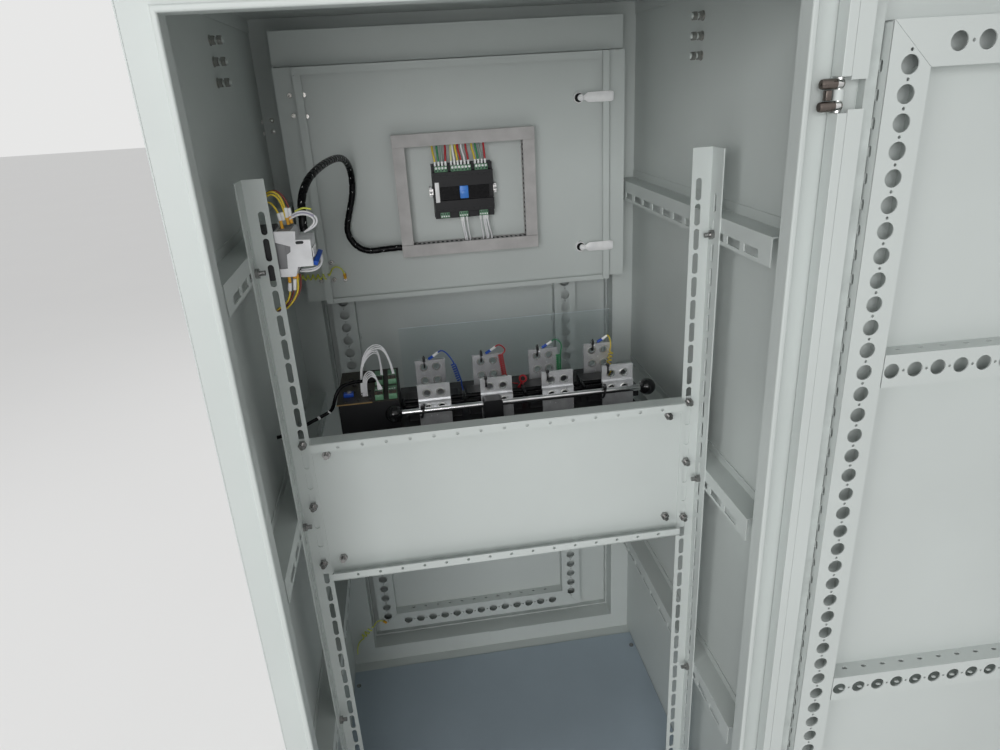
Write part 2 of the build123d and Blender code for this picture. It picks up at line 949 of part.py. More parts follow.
def instrument_door_panel():
    """Folded inner door with the controller's cut-out and the latch holes."""
    face = instrument_plane
    panel = block(
        instrument_door_left,
        instrument_door_right,
        face,
        face + instrument_door_flange,
        instrument_door_bottom,
        instrument_door_top,
    )
    panel -= block(
        instrument_door_left - 1,
        instrument_door_right - sheet,
        face + sheet,
        face + instrument_door_flange + 1,
        instrument_door_bottom + sheet,
        instrument_door_top - sheet,
    )
    gap = controller_cutout_gap
    panel -= block(
        controller_left - gap,
        controller_right + gap,
        face - 1,
        face + sheet + 1,
        controller_bottom - gap,
        controller_top + gap,
    )
    for height in instrument_latch_heights:
        panel -= depth_rod(
            instrument_latch_x, height, face - 1, face + sheet + 1, latch_sleeve_radius + fit_gap
        )
    return panel


def controller():
    """Flush-mounted controller, its rear housing to the rear and its bezel to the front."""
    face = instrument_plane
    housing = block(
        controller_left,
        controller_right,
        face - controller_depth,
        face + sheet,
        controller_bottom,
        controller_top,
    )
    left = controller_left - 1
    right = controller_right + 1
    rear = face - controller_depth
    step_end = rear + controller_step_depth
    upper_step = controller_top - controller_step_height
    lower_step = controller_bottom + controller_step_height
    for low, high, end in (
        (upper_step, controller_top + 1, step_end),
        (controller_bottom - 1, lower_step, step_end),
        (
            controller_bottom + controller_channel_low,
            controller_bottom + controller_channel_high,
            rear + controller_channel_depth,
        ),
    ):
        housing -= block(left, right, rear - 1, end, low, high)
    margin = controller_bezel_margin
    bezel = block(
        controller_left - margin,
        controller_right + margin,
        face + sheet + fit_gap,
        face + sheet + controller_bezel,
        controller_bottom - margin,
        controller_top + margin,
    )
    bezel = fillet(bezel.edges().filter_by(Axis.Y), margin / 2)
    neck = block(
        controller_left,
        controller_right,
        face + sheet - 1,
        face + sheet + 1,
        controller_bottom,
        controller_top,
    )
    return housing + neck + bezel


def controller_plugs():
    """Plug-in terminals in the steps along the controller's upper and lower edges."""
    back = instrument_plane - controller_depth + controller_step_depth
    upper = controller_top - controller_step_height
    lower = controller_bottom + controller_step_height
    plugs = []
    for row, low in ((upper_plugs, upper), (lower_plugs, lower - plug_height)):
        for centre, width in row:
            half = width / 2
            high = low + plug_height
            plugs.append(block(centre - half, centre + half, back - plug_depth, back, low, high))
    return plugs


def controller_clamps():
    """Screw clamps that hold the controller against the door from behind."""
    middle = (controller_bottom + controller_top) / 2
    near = instrument_plane - clamp_standoff
    low = middle - clamp_height / 2
    clamps = []
    for side, x in ((-1, controller_left), (1, controller_right)):
        x0, x1 = sorted((x + side * fit_gap, x + side * clamp_reach))
        clamp = block(x0, x1, near - clamp_depth, near, low, low + clamp_height)
        screw = Rot(90, 0, 0) * shank(clamp_screw_radius, clamp_screw_length)
        clamps.append(clamp + Pos((x0 + x1) / 2, instrument_plane, middle) * screw)
    return clamps


def duct(length):
    """Wiring duct with its cover, along +X from the origin, its back on Y = 0."""
    half = duct_width / 2
    seam_near = -duct_depth + duct_cover_rim
    seam_far = seam_near + duct_seam
    outline = [
        (0, -half),
        (0, half),
        (seam_far, half),
        (seam_far, half - duct_wall),
        (seam_near, half - duct_wall),
        (seam_near, half),
        (-duct_depth, half),
        (-duct_depth, -half),
        (seam_near, -half),
        (seam_near, -half + duct_wall),
        (seam_far, -half + duct_wall),
        (seam_far, -half),
    ]
    trough = extrude_along_x(outline, 0, length)
    inside = half - 2 * duct_wall
    return trough - block(-1, length + 1, -duct_depth + duct_cover_thickness, -duct_wall, -inside, inside)


def wiring_ducts():
    """Four ducts round the controller."""
    face = instrument_plane
    half = duct_width / 2
    across = duct(duct_right - duct_left)
    down = Rot(0, -90, 0) * duct(duct_top - duct_bottom - 2 * duct_width)
    return [
        Pos(duct_left, face, duct_top - half) * across,
        Pos(duct_left, face, duct_bottom + half) * across,
        Pos(duct_left + half, face, duct_bottom + duct_width) * down,
        Pos(duct_right - half, face, duct_bottom + duct_width) * down,
    ]


instrument_pin = (instrument_pin_x, instrument_plane + sheet + instrument_pin_standoff)


def instrument_hinge_knuckles(height, first, last):
    """Part of a hinge barrel between two shares of its length."""
    low = height + instrument_hinge_length * (first - 0.5)
    high = height + instrument_hinge_length * (last - 0.5)
    return upright_rod(*instrument_pin, low, high, instrument_knuckle)


def instrument_hinge_frame_leaves():
    """Hinge leaves on the left strip, with the hinge pins fixed in them."""
    leaves = []
    front = instrument_plane + sheet
    for height in instrument_hinge_heights:
        low = height - instrument_hinge_length / 2
        leaf = block(
            instrument_pin_x - instrument_leaf_width,
            instrument_pin_x - 1,
            front,
            front + instrument_leaf,
            low,
            low + instrument_hinge_length,
        )
        gap = hinge_gap / instrument_hinge_length
        middle = block(
            instrument_pin_x - instrument_knuckle - 1,
            instrument_pin_x,
            front - 1,
            front + 4 * instrument_knuckle,
            height - instrument_hinge_length * (1 / 6 + gap),
            height + instrument_hinge_length * (1 / 6 + gap),
        )
        leaf += instrument_hinge_knuckles(height, 0, 1 / 3 - gap)
        leaf += instrument_hinge_knuckles(height, 2 / 3 + gap, 1)
        leaf -= middle
        leaf += upright_rod(*instrument_pin, low, low + instrument_hinge_length, instrument_pin_radius)
        leaves.append(leaf)
    return leaves


def instrument_hinge_door_leaves():
    """Hinge leaves on the instrument door, each with one knuckle round the pin."""
    leaves = []
    front = instrument_plane + sheet
    for height in instrument_hinge_heights:
        low = height - instrument_hinge_length / 6
        high = height + instrument_hinge_length / 6
        leaf = block(
            instrument_pin_x + instrument_knuckle + 2,
            instrument_pin_x + instrument_leaf_width,
            front,
            front + instrument_leaf,
            height - instrument_hinge_length / 2,
            height + instrument_hinge_length / 2,
        )
        leaf += block(
            instrument_pin_x,
            instrument_pin_x + instrument_leaf_width / 2,
            front + fit_gap,
            front + instrument_leaf,
            low,
            high,
        )
        leaf += instrument_hinge_knuckles(height, 1 / 3, 2 / 3)
        bore = instrument_pin_radius + pin_clearance
        leaves.append(leaf - upright_rod(*instrument_pin, low - 1, high + 1, bore))
    return leaves


def latch_sleeve(face, direction, head):
    """Fixed sleeve of a quarter-turn latch through a sheet at Y = face.
    It reaches inwards along direction, and its head stands outside."""
    ends = sorted((face - direction * (sheet + latch_head_height), face + direction * latch_sleeve_length))
    sleeve = depth_rod(0, 0, *ends, latch_sleeve_radius)
    outside = sorted((face - direction * sheet, face - direction * (sheet + latch_head_height)))
    nut = Plane.XZ * RegularPolygon(head - latch_nut_step, 6)
    nut = extrude(nut, amount=-direction * latch_nut_thickness)
    sleeve += depth_rod(0, 0, *outside, head)
    sleeve += Pos(0, face, 0) * nut
    return sleeve - depth_rod(0, 0, *ends, latch_spindle_radius + pin_clearance)


def cam_plate(tip, y0, y1):
    """Latch cam along +X from the spindle's axis to its tip."""
    half = cam_width / 2
    outline = [(0, -half), (tip - half / 2, -half), (tip, 0), (tip - half / 2, half), (0, half)]
    return extrude_along_y(outline, y0, y1) + depth_rod(0, 0, y0, y1, half)


# Outer doors, drawn closed at the rear

skin_face = -half_depth - skin_inner
lip_face = -half_depth - pin_standoff + door_depth / 2


def hinge_height(height):
    """Low and high ends of a hinge's arms."""
    half = knuckle_height / 2 + hinge_gap + arm_height
    return height - half, height + half


def door_panel(hinge_heights):
    """Door pan: skin, folded edge and lip, notched at the hinges, with holes for the latches."""
    low = door_gap
    high = cabinet_height - door_gap
    outer = block(-half_width, half_width, skin_face - sheet, lip_face, low, high)
    inner = block(
        -half_width + sheet, half_width - sheet, skin_face, lip_face + 1, low + sheet, high - sheet
    )
    pan = outer - inner
    lip = block(-half_width, half_width, lip_face - sheet, lip_face, low, high)
    lip -= block(
        -half_width + door_lip,
        half_width - door_lip,
        lip_face - 2 * sheet,
        lip_face + 1,
        low + door_lip,
        high - door_lip,
    )
    pan += lip
    for height in hinge_heights:
        bottom, top = hinge_height(height)
        pan -= block(
            half_width - door_lip - 1,
            half_width + 1,
            skin_face,
            lip_face + 1,
            bottom - hinge_notch,
            top + hinge_notch,
        )
    for height in latch_heights:
        pan -= depth_rod(
            -half_width + latch_from_edge,
            height,
            skin_face - sheet - 1,
            skin_face + 1,
            latch_sleeve_radius + fit_gap,
        )
    return pan


def perforated_section():
    """Channel with its face inwards, its two sides on the door's skin."""
    half = frame_strip_width / 2
    return section_face(
        [
            (-half, 0),
            (-half, frame_standoff),
            (half, frame_standoff),
            (half, 0),
            (half - sheet, 0),
            (half - sheet, frame_standoff - sheet),
            (-half + sheet, frame_standoff - sheet),
            (-half + sheet, 0),
        ]
    )


def perforated_frame(column_from_pin, cut_holes):
    """Welded channel frame inside a door, with two crossbars and rows of round holes."""
    width = frame_column_spacing
    height = frame_high_line - frame_low_line
    middle = (frame_high_line + frame_low_line) / 2
    hinge_column = rear_pin[0] - column_from_pin
    centre = hinge_column - width / 2
    frame = Pos(centre, skin_face, middle) * mitred_frame(perforated_section(), width, height)
    inner_left = centre - width / 2 + frame_strip_width / 2
    inner_right = centre + width / 2 - frame_strip_width / 2
    half = frame_crossbar_width / 2
    for line in frame_crossbar_lines:
        face = skin_face + frame_standoff
        bar = block(inner_left, inner_right, skin_face, face, line - half, line + half)
        bar -= block(
            inner_left - 1,
            inner_right + 1,
            skin_face - 1,
            face - sheet,
            line - half + sheet,
            line + half - sheet,
        )
        frame += bar
    if not cut_holes:
        return frame
    face = skin_face + frame_standoff
    cutter = extrude(
        Plane.XZ * RegularPolygon(frame_hole / 2, frame_hole_sides), amount=2 * sheet, both=True
    )
    places = []
    for index in range(column_hole_count):
        z = middle + column_hole_pitch * (index - (column_hole_count - 1) / 2)
        places += [(centre - width / 2, z), (centre + width / 2, z)]
    for index in range(row_hole_count):
        x = centre + row_hole_pitch * (index - (row_hole_count - 1) / 2)
        places += [(x, frame_low_line), (x, frame_high_line)]
    for index in range(crossbar_hole_count):
        x = hinge_column - crossbar_first_hole - crossbar_hole_pitch * index
        places += [(x, line) for line in frame_crossbar_lines]
    return frame - [Pos(x, face, z) * cutter for x, z in places]


def door_gasket(centre, half):
    """Foam seal on the door's skin, facing the rim of the opening."""
    thickness = skin_inner - rim_height - fit_gap
    section = section_face([(0, 0), (gasket_width, 0), (gasket_width, thickness), (0, thickness)])
    height = opening_height - 2 * (rear_opening_width / 2 - gasket_inner)
    ring = mitred_frame(section, 2 * half, height)
    return Pos(centre, skin_face, opening_middle) * ring


def hinge_door_leaf(height):
    """Leaf on the door's skin with one knuckle on the hinge axis."""
    x, y = rear_pin
    leaf = block(
        x - door_leaf_inset - door_leaf_width,
        x - door_leaf_inset,
        skin_face,
        skin_face + leaf_thickness,
        height - door_leaf_height / 2,
        height + door_leaf_height / 2,
    )
    low = height - knuckle_height / 2
    high = height + knuckle_height / 2
    leaf += block(x - knuckle_radius, x, skin_face + leaf_thickness / 2, y, low, high)
    leaf += upright_rod(x, y, low, high, knuckle_radius)
    return leaf - upright_rod(x, y, low - 1, high + 1, pin_radius + pin_clearance)


def hinge_post_leaf(height):
    """Leaf on the post with two arms that reach the hinge axis."""
    x, y = rear_pin
    bottom, top = hinge_height(height)
    x1 = x - post_leaf_inset
    x0 = x1 - post_leaf_width
    leaf = block(x0, x1, -half_depth - leaf_thickness, -half_depth, bottom, top)
    for low in (bottom, top - arm_height):
        leaf += block(x0, x1, y - knuckle_radius, -half_depth - leaf_thickness, low, low + arm_height)
        leaf += block(x0, x, y - knuckle_radius, y + knuckle_radius, low, low + arm_height)
        leaf += upright_rod(x, y, low, low + arm_height, knuckle_radius)
    return leaf - upright_rod(x, y, bottom - 1, top + 1, pin_radius + pin_clearance)


def hinge_pin(height):
    """Pin through the arms and the knuckle, with a domed head at each end."""
    x, y = rear_pin
    bottom, top = hinge_height(height)
    pin = upright_rod(x, y, bottom, top, pin_radius)
    pin += upright_rod(x, y, top, top + pin_head_height, pin_head_radius)
    return pin + upright_rod(x, y, bottom - pin_head_height, bottom, pin_head_radius)


def door_latch_sleeves():
    """Fixed sleeves of the two latches of an outer door."""
    sleeve = latch_sleeve(skin_face, 1, latch_head_radius)
    return [Pos(-half_width + latch_from_edge, 0, height) * sleeve for height in latch_heights]


def door_cam(height, cam_face):
    """Spindle and cam of one latch, the cam turned up and clear of the frame."""
    spindle = depth_rod(0, 0, skin_face - sheet, cam_face + cam_thickness, latch_spindle_radius)
    cam = Rot(0, -90, 0) * cam_plate(cam_length, cam_face, cam_face + cam_thickness)
    return Pos(-half_width + latch_from_edge, 0, height) * (spindle + cam)


def instrument_cam(height):
    """Spindle and lever cam of an instrument-door latch, its tip over the right strip."""
    front = instrument_plane - fit_gap
    rear = front - cam_thickness
    end = instrument_plane + sheet + latch_head_height
    cam = cam_plate(instrument_cam_tip - instrument_latch_x, rear, front)
    spindle = depth_rod(0, 0, rear - instrument_spindle_end, end, latch_spindle_radius)
    return Pos(instrument_latch_x, 0, height) * (cam + spindle)


def instrument_latch_sleeves():
    """Fixed sleeves of the two instrument-door latches, on the front of the door."""
    front = instrument_plane + sheet
    sleeves = []
    for height in instrument_latch_heights:
        sleeve = depth_rod(0, 0, instrument_plane, front + latch_head_height, latch_sleeve_radius)
        sleeve += depth_rod(0, 0, front, front + latch_head_height, latch_head_radius)
        sleeve -= depth_rod(
            0, 0, instrument_plane - 1, front + latch_head_height + 1, latch_spindle_radius + pin_clearance
        )
        sleeves.append(Pos(instrument_latch_x, 0, height) * sleeve)
    return sleeves


def outer_door(hinge_heights, column_from_pin, cut_holes, gasket_centre, gasket_half, cam_face):
    """All pieces of an outer door, closed at the rear of the cabinet."""
    return {
        "panel": door_panel(hinge_heights),
        "frame": perforated_frame(column_from_pin, cut_holes),
        "gasket": door_gasket(gasket_centre, gasket_half),
        "hinge_leaves": [hinge_door_leaf(height) for height in hinge_heights],
        "latch_sleeves": door_latch_sleeves(),
        "upper_cam": door_cam(latch_heights[0], cam_face),
        "lower_cam": door_cam(latch_heights[1], cam_face),
    }


def wiring_loom():
    """Sleeved loom: straight runs joined by tangent arcs."""
    points = [Vector(*point) for point in loom_route]
    radii = []
    for before, corner, after in zip(points, points[1:], points[2:]):
        first = corner - before
        second = after - corner
        turn = math.radians(first.get_angle(second))
        shorter = min(first.length, second.length)
        radii.append(loom_bend_share * shorter / math.tan(turn / 2))
    print("loom radii", [round(radius, 1) for radius in radii])
    path = FilletPolyline(*loom_route, radius=radii)
    start = Plane(origin=path @ 0, z_dir=path % 0)
    tube = sweep(start * Circle(loom_diameter / 2), path=path)
    ideal_volume = math.pi * loom_diameter ** 2 / 4 * path.length
    print("loom length", round(path.length, 1), "volume ratio", round(tube.volume / ideal_volume, 4))
    return tube


# All pieces, by the names of their nodes

def build_pieces():
    pieces = {
        "side_panel_right": side_panel(),
        "side_panel_left": mirrored(side_panel()),
        "roof_panel": roof_panel(),
        "rear_frame": rear_frame(),
        "front_frame": front_frame(),
        "base_frame": base_frame(),
        "gland_plate": gland_plate(),
        "upright_right": slotted_upright(),
        "upright_left": mirrored(slotted_upright()),
        "mounting_plate": mounting_plate(),
        "cabinet_fasteners": cabinet_fasteners(),
        "switch_base": switch_base(),
        "switch_body": switch_body(),
        "near_terminals": near_terminals(),
        "far_terminals": far_terminals(),
        "switch_drive": switch_drive(),
        "drive_board": drive_board(),
        "handle_hub": handle_hub(),
        "handle_rod": handle_rod(),
        "handle_knobs": handle_knobs(),
        "clear_shield": clear_shield(),
        "module_rail": module_rail(),
        "power_module": power_module(),
        "module_plug": module_plug(),
        "instrument_frame": instrument_frame(),
        "instrument_door_panel": instrument_door_panel(),
        "controller": controller(),
        "controller_plugs": controller_plugs(),
        "controller_clamps": controller_clamps(),
        "wiring_ducts": wiring_ducts(),
        "instrument_hinge_frame_leaves": instrument_hinge_frame_leaves(),
        "instrument_hinge_door_leaves": instrument_hinge_door_leaves(),
        "instrument_latch_sleeves": instrument_latch_sleeves(),
        "instrument_upper_cam": instrument_cam(instrument_latch_heights[0]),
        "instrument_lower_cam": instrument_cam(instrument_latch_heights[1]),
        "wiring_loom": wiring_loom(),
    }
    for name, slot_line in zip(("upper", "middle", "lower"), slot_lines):
        rail = depth_rail(slot_line)
        pieces["depth_rail_" + name + "_right"] = rail
        pieces["depth_rail_" + name + "_left"] = mirrored(rail)

    gasket_step = rear_opening_width / 2 - gasket_inner
    rear_cam_face = -half_depth + rear_return_depth + cam_clearance
    rear = outer_door(rear_hinge_heights, rear_column_from_pin, True, 0, gasket_inner, rear_cam_face)
    for name, shapes in rear.items():
        pieces["rear_door_" + name] = placed(shapes, opened_rear_door)
    pieces["rear_hinge_post_leaves"] = [hinge_post_leaf(height) for height in rear_hinge_heights]
    pieces["rear_hinge_pins"] = [hinge_pin(height) for height in rear_hinge_heights]

    front_centre = (front_opening_left - front_opening_right) / 2
    front_half = (front_opening_left + front_opening_right) / 2 - gasket_step
    front_cam_face = -front_inner + cam_clearance
    front = outer_door(
        front_hinge_heights, front_column_from_pin, False, front_centre, front_half, front_cam_face
    )
    front["hinge_post_leaves"] = [hinge_post_leaf(height) for height in front_hinge_heights]
    front["hinge_pins"] = [hinge_pin(height) for height in front_hinge_heights]
    for name, shapes in front.items():
        node = "front_" + name if name.startswith("hinge_p") else "front_door_" + name
        pieces[node] = placed(shapes, at_the_front)
    return pieces


def opened_rear_door(shape):
    """Shape of the rear door, swung from closed to its place at rest."""
    return turned_about(shape, rear_pin, rear_door_rest_angle)


def at_the_front(shape):
    """Shape drawn at the rear, taken round to the front."""
    return Rot(0, 0, 180) * shape


def placed(shapes, move):
    """One shape or a list of shapes, moved."""
    if isinstance(shapes, list):
        return [move(shape) for shape in shapes]
    return move(shapes)


def write_pieces(pieces):
    """One STEP file for each node."""
    os.makedirs("parts", exist_ok=True)
    for name, shapes in pieces.items():
        solids = shapes if isinstance(shapes, list) else [shapes]
        solids = [solid for shape in solids for solid in shape.solids()]
        shape = solids[0] if len(solids) == 1 else Compound(children=solids)
        export_step(shape, "parts/" + name + ".step")
    print(len(pieces), "nodes written")


write_pieces(build_pieces())
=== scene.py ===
import math
import random

import bmesh
import bpy
from mathutils import Matrix, Vector
from mathutils.geometry import tessellate_polygon


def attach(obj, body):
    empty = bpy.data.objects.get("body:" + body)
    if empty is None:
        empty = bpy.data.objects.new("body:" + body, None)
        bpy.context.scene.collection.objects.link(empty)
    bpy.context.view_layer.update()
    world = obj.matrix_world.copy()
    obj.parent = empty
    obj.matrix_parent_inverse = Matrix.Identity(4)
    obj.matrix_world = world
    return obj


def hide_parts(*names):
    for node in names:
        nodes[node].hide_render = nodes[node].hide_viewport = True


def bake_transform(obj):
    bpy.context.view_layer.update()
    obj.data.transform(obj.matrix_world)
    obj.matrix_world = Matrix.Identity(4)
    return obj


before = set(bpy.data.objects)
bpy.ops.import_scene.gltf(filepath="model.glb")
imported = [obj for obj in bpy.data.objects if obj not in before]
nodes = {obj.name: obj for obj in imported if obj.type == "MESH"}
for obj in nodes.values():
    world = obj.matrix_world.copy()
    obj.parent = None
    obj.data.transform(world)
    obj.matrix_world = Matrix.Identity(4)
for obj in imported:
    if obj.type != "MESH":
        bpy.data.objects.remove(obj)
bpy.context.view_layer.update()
mm = 0.001  # all sizes and places below are in millimetres, as on the workshop drawing
scene = bpy.context.scene
scene.view_settings.view_transform = "Standard"
print("frame loaded,", len(nodes), "nodes")


# Places and directions

same = Matrix.Identity(4)


def point(x, y, z):
    return Vector((x, y, z)) * mm


def at(x, y, z):
    return Matrix.Translation(point(x, y, z))


def basis(origin, uAxis, vAxis):
    # takes a flat sheet's u and v to two directions of the cabinet
    u, v = Vector(uAxis).normalized(), Vector(vAxis).normalized()
    return at(*origin) @ Matrix((u, v, u.cross(v))).transposed().to_4x4()


def facing(y):
    # for a sheet seen square on through the rear opening
    return basis((0, y, 0), (1, 0, 0), (0, 0, 1))


def sideways(x):
    return basis((x, 0, 0), (0, 1, 0), (0, 0, 1))


def lying(z):
    return basis((0, 0, z), (1, 0, 0), (0, 1, 0))


def along(origin, direction):
    # takes Z to a direction
    return at(*origin) @ Vector(direction).to_track_quat("Z", "Y").to_matrix().to_4x4()


# Camera, at the photograph's place

cameraSet = {
    "place": (-129.2, -1256.2, 1553.0),
    "right": (0.98849, -0.14091, -0.05513),
    "up": (0.10395, 0.36759, 0.92417),
    "lens": 25.603,
    "sensor": 36.0,
    "clip": (0.01, 50.0),      # metres
}


def makeCamera(look):
    data = bpy.data.cameras.new("camera")
    data.lens = look["lens"]
    data.sensor_width = look["sensor"]
    data.clip_start, data.clip_end = look["clip"]
    camera = bpy.data.objects.new("camera", data)
    camera.matrix_world = basis(look["place"], look["right"], look["up"])
    scene.collection.objects.link(camera)
    scene.camera = camera


makeCamera(cameraSet)


# Studio: soft lamps, plain light all round and a pale floor

studio = {
    "worldColour": (1.0, 1.0, 1.0), "worldStrength": 0.40,
    "backColour": (0.80, 0.80, 0.795), "backStrength": 1.0,
    "floorHalf": 30000.0, "floorSheet": 2.0, "floorMiddle": -1.2,
    "floorColour": (0.80, 0.80, 0.795),
    "floorLift": 0.5,          # share of plain backdrop colour in the floor, so that its far end stays pale
    "lamps": [
        # place, target, size in mm, watts
        ((-1100.0, -4300.0, 2000.0), (0.0, 0.0, 1100.0), 2200.0, 78.0),
        ((-3300.0, -3000.0, 1900.0), (200.0, -200.0, 1000.0), 1800.0, 34.0),
        ((600.0, 3300.0, 2600.0), (0.0, 200.0, 900.0), 2200.0, 42.0),
        ((-3200.0, 400.0, 2000.0), (-300.0, 0.0, 900.0), 1800.0, 20.0),
    ],
}


def addSeenRays(tree):
    # 1 for rays that come from the camera, a mirror or a clear sheet
    path = tree.nodes.new("ShaderNodeLightPath")
    seen = path.outputs["Is Camera Ray"]
    for kind in ("Is Glossy Ray", "Is Transmission Ray"):
        either = tree.nodes.new("ShaderNodeMath")
        either.operation = "MAXIMUM"
        tree.links.new(seen, either.inputs[0])
        tree.links.new(path.outputs[kind], either.inputs[1])
        seen = either.outputs[0]
    return seen


def makeStudio(look):
    world = bpy.data.worlds.new("studio")
    scene.world = world
    world.use_nodes = True
    tree = world.node_tree
    tree.nodes.clear()
    out = tree.nodes.new("ShaderNodeOutputWorld")
    mix = tree.nodes.new("ShaderNodeMixShader")
    tree.links.new(addSeenRays(tree), mix.inputs[0])
    for socket, kind in ((1, "world"), (2, "back")):       # light on the object, and what the camera sees
        glow = tree.nodes.new("ShaderNodeBackground")
        glow.inputs["Color"].default_value = (*look[kind + "Colour"], 1.0)
        glow.inputs["Strength"].default_value = look[kind + "Strength"]
        tree.links.new(glow.outputs[0], mix.inputs[socket])
    tree.links.new(mix.outputs[0], out.inputs[0])
    for number, (place, target, size, watts) in enumerate(look["lamps"]):
        data = bpy.data.lights.new("lamp%d" % number, "AREA")
        data.size = size * mm
        data.energy = watts
        lamp = bpy.data.objects.new("lamp%d" % number, data)
        lamp.location = Vector(place) * mm
        aim = Vector(target) * mm - lamp.location
        lamp.rotation_euler = aim.to_track_quat("-Z", "Y").to_euler()
        scene.collection.objects.link(lamp)


makeStudio(studio)
print("camera and studio ready")


# Finishes

def newFinish(name, colour, rough, metal=0.0):
    finish = bpy.data.materials.new(name)
    finish.use_nodes = True
    tree = finish.node_tree
    shader = tree.nodes["Principled BSDF"]
    shader.inputs["Base Color"].default_value = (*colour, 1.0)
    shader.inputs["Roughness"].default_value = rough
    shader.inputs["Metallic"].default_value = metal
    return finish, tree, shader


def addNoise(tree, scale, detail=3.0, stretch=None):
    coords = tree.nodes.new("ShaderNodeTexCoord")
    noise = tree.nodes.new("ShaderNodeTexNoise")
    noise.inputs["Scale"].default_value = scale
    noise.inputs["Detail"].default_value = detail
    source = coords.outputs["Object"]
    if stretch:
        mapping = tree.nodes.new("ShaderNodeMapping")
        mapping.inputs["Scale"].default_value = stretch
        tree.links.new(source, mapping.inputs["Vector"])
        source = mapping.outputs["Vector"]
    tree.links.new(source, noise.inputs["Vector"])
    return noise.outputs["Fac"]


def colourBy(tree, shader, source, stops):
    ramp = tree.nodes.new("ShaderNodeValToRGB")
    for index, (place, colour) in enumerate(stops):
        stop = ramp.color_ramp.elements[index] if index < 2 else ramp.color_ramp.elements.new(place)
        stop.position = place
        stop.color = (*colour, 1.0)
    tree.links.new(source, ramp.inputs["Fac"])
    tree.links.new(ramp.outputs["Color"], shader.inputs["Base Color"])


def roughenBy(tree, shader, source, low, high):
    spread = tree.nodes.new("ShaderNodeMapRange")
    spread.inputs["To Min"].default_value = low
    spread.inputs["To Max"].default_value = high
    tree.links.new(source, spread.inputs["Value"])
    tree.links.new(spread.outputs["Result"], shader.inputs["Roughness"])


def addBump(tree, shader, source, strength, height):
    bump = tree.nodes.new("ShaderNodeBump")
    bump.inputs["Strength"].default_value = strength
    bump.inputs["Distance"].default_value = height * mm
    tree.links.new(source, bump.inputs["Height"])
    tree.links.new(bump.outputs["Normal"], shader.inputs["Normal"])


def shades(colour, *stops):
    # ramp stops from pairs of a place and a share of the colour
    return [(place, tuple(min(1.0, part * share) for part in colour)) for place, share in stops]


def powderCoat(name, colour, rough=0.42, peel=0.16, grime=0.0):
    finish, tree, shader = newFinish(name, colour, rough)
    cloud = addNoise(tree, scale=2.6, detail=5.0)
    colourBy(tree, shader, cloud, shades(colour, (0.30, 0.955 - grime), (0.62, 1.02), (0.82, 0.985)))
    roughenBy(tree, shader, addNoise(tree, scale=11.0, detail=4.0), rough - 0.09, rough + 0.12)
    addBump(tree, shader, addNoise(tree, scale=820.0, detail=2.0), peel, height=0.35)
    shader.inputs["Specular IOR Level"].default_value = 0.46
    return finish


def metalFinish(name, colour, rough, stretch=(1, 1, 1), spread=0.1, scratch=0.2, scale=240.0, metal=1.0):
    finish, tree, shader = newFinish(name, colour, rough, metal)
    colourBy(tree, shader, addNoise(tree, scale=60.0, detail=4.0), shades(colour, (0.32, 0.84), (0.68, 1.06)))
    line = addNoise(tree, scale, 3.0, stretch)
    roughenBy(tree, shader, line, max(0.05, rough - spread), rough + spread)
    addBump(tree, shader, line, scratch, height=0.12)
    return finish


def plasticFinish(name, colour, rough, grain=0.22, scale=900.0, specular=0.45):
    finish, tree, shader = newFinish(name, colour, rough)
    colourBy(tree, shader, addNoise(tree, scale=30.0, detail=4.0), shades(colour, (0.3, 0.88), (0.7, 1.08)))
    roughenBy(tree, shader, addNoise(tree, scale=70.0), rough - 0.07, rough + 0.09)
    addBump(tree, shader, addNoise(tree, scale, detail=2.0), grain, height=0.12)
    shader.inputs["Specular IOR Level"].default_value = specular
    return finish


def clearFinish(name, colour, rough):
    finish, tree, shader = newFinish(name, colour, rough)
    shader.inputs["Transmission Weight"].default_value = 1.0
    shader.inputs["IOR"].default_value = 1.2
    ripple = addNoise(tree, scale=26.0, detail=4.0)
    roughenBy(tree, shader, ripple, rough, rough + 0.12)
    addBump(tree, shader, ripple, strength=0.35, height=2.0)
    return finish


def boardFinish(name, colour, trackColour):
    finish, tree, shader = newFinish(name, colour, 0.38)
    trace = addNoise(tree, scale=260.0, detail=1.0, stretch=(1, 1, 0.1))
    dark, light = shades(colour, (0.42, 0.8), (0.58, 1.1))
    colourBy(tree, shader, trace, [dark, (0.5, trackColour), light])
    roughenBy(tree, shader, trace, 0.28, 0.5)
    addBump(tree, shader, trace, strength=0.3, height=0.1)
    return finish


def floorFinish(name, look):
    colour = look["floorColour"]
    finish, tree, shader = newFinish(name, colour, 0.85)
    colourBy(tree, shader, addNoise(tree, scale=1.4, detail=5.0), shades(colour, (0.3, 0.985), (0.7, 1.01)))
    lift = tree.nodes.new("ShaderNodeEmission")
    lift.inputs["Color"].default_value = (*look["backColour"], 1.0)
    share = tree.nodes.new("ShaderNodeMath")
    share.operation = "MULTIPLY"
    share.inputs[1].default_value = look["floorLift"]
    tree.links.new(addSeenRays(tree), share.inputs[0])
    mix = tree.nodes.new("ShaderNodeMixShader")
    tree.links.new(share.outputs[0], mix.inputs[0])
    tree.links.new(shader.outputs[0], mix.inputs[1])
    tree.links.new(lift.outputs[0], mix.inputs[2])
    tree.links.new(mix.outputs[0], tree.nodes["Material Output"].inputs["Surface"])
    return finish


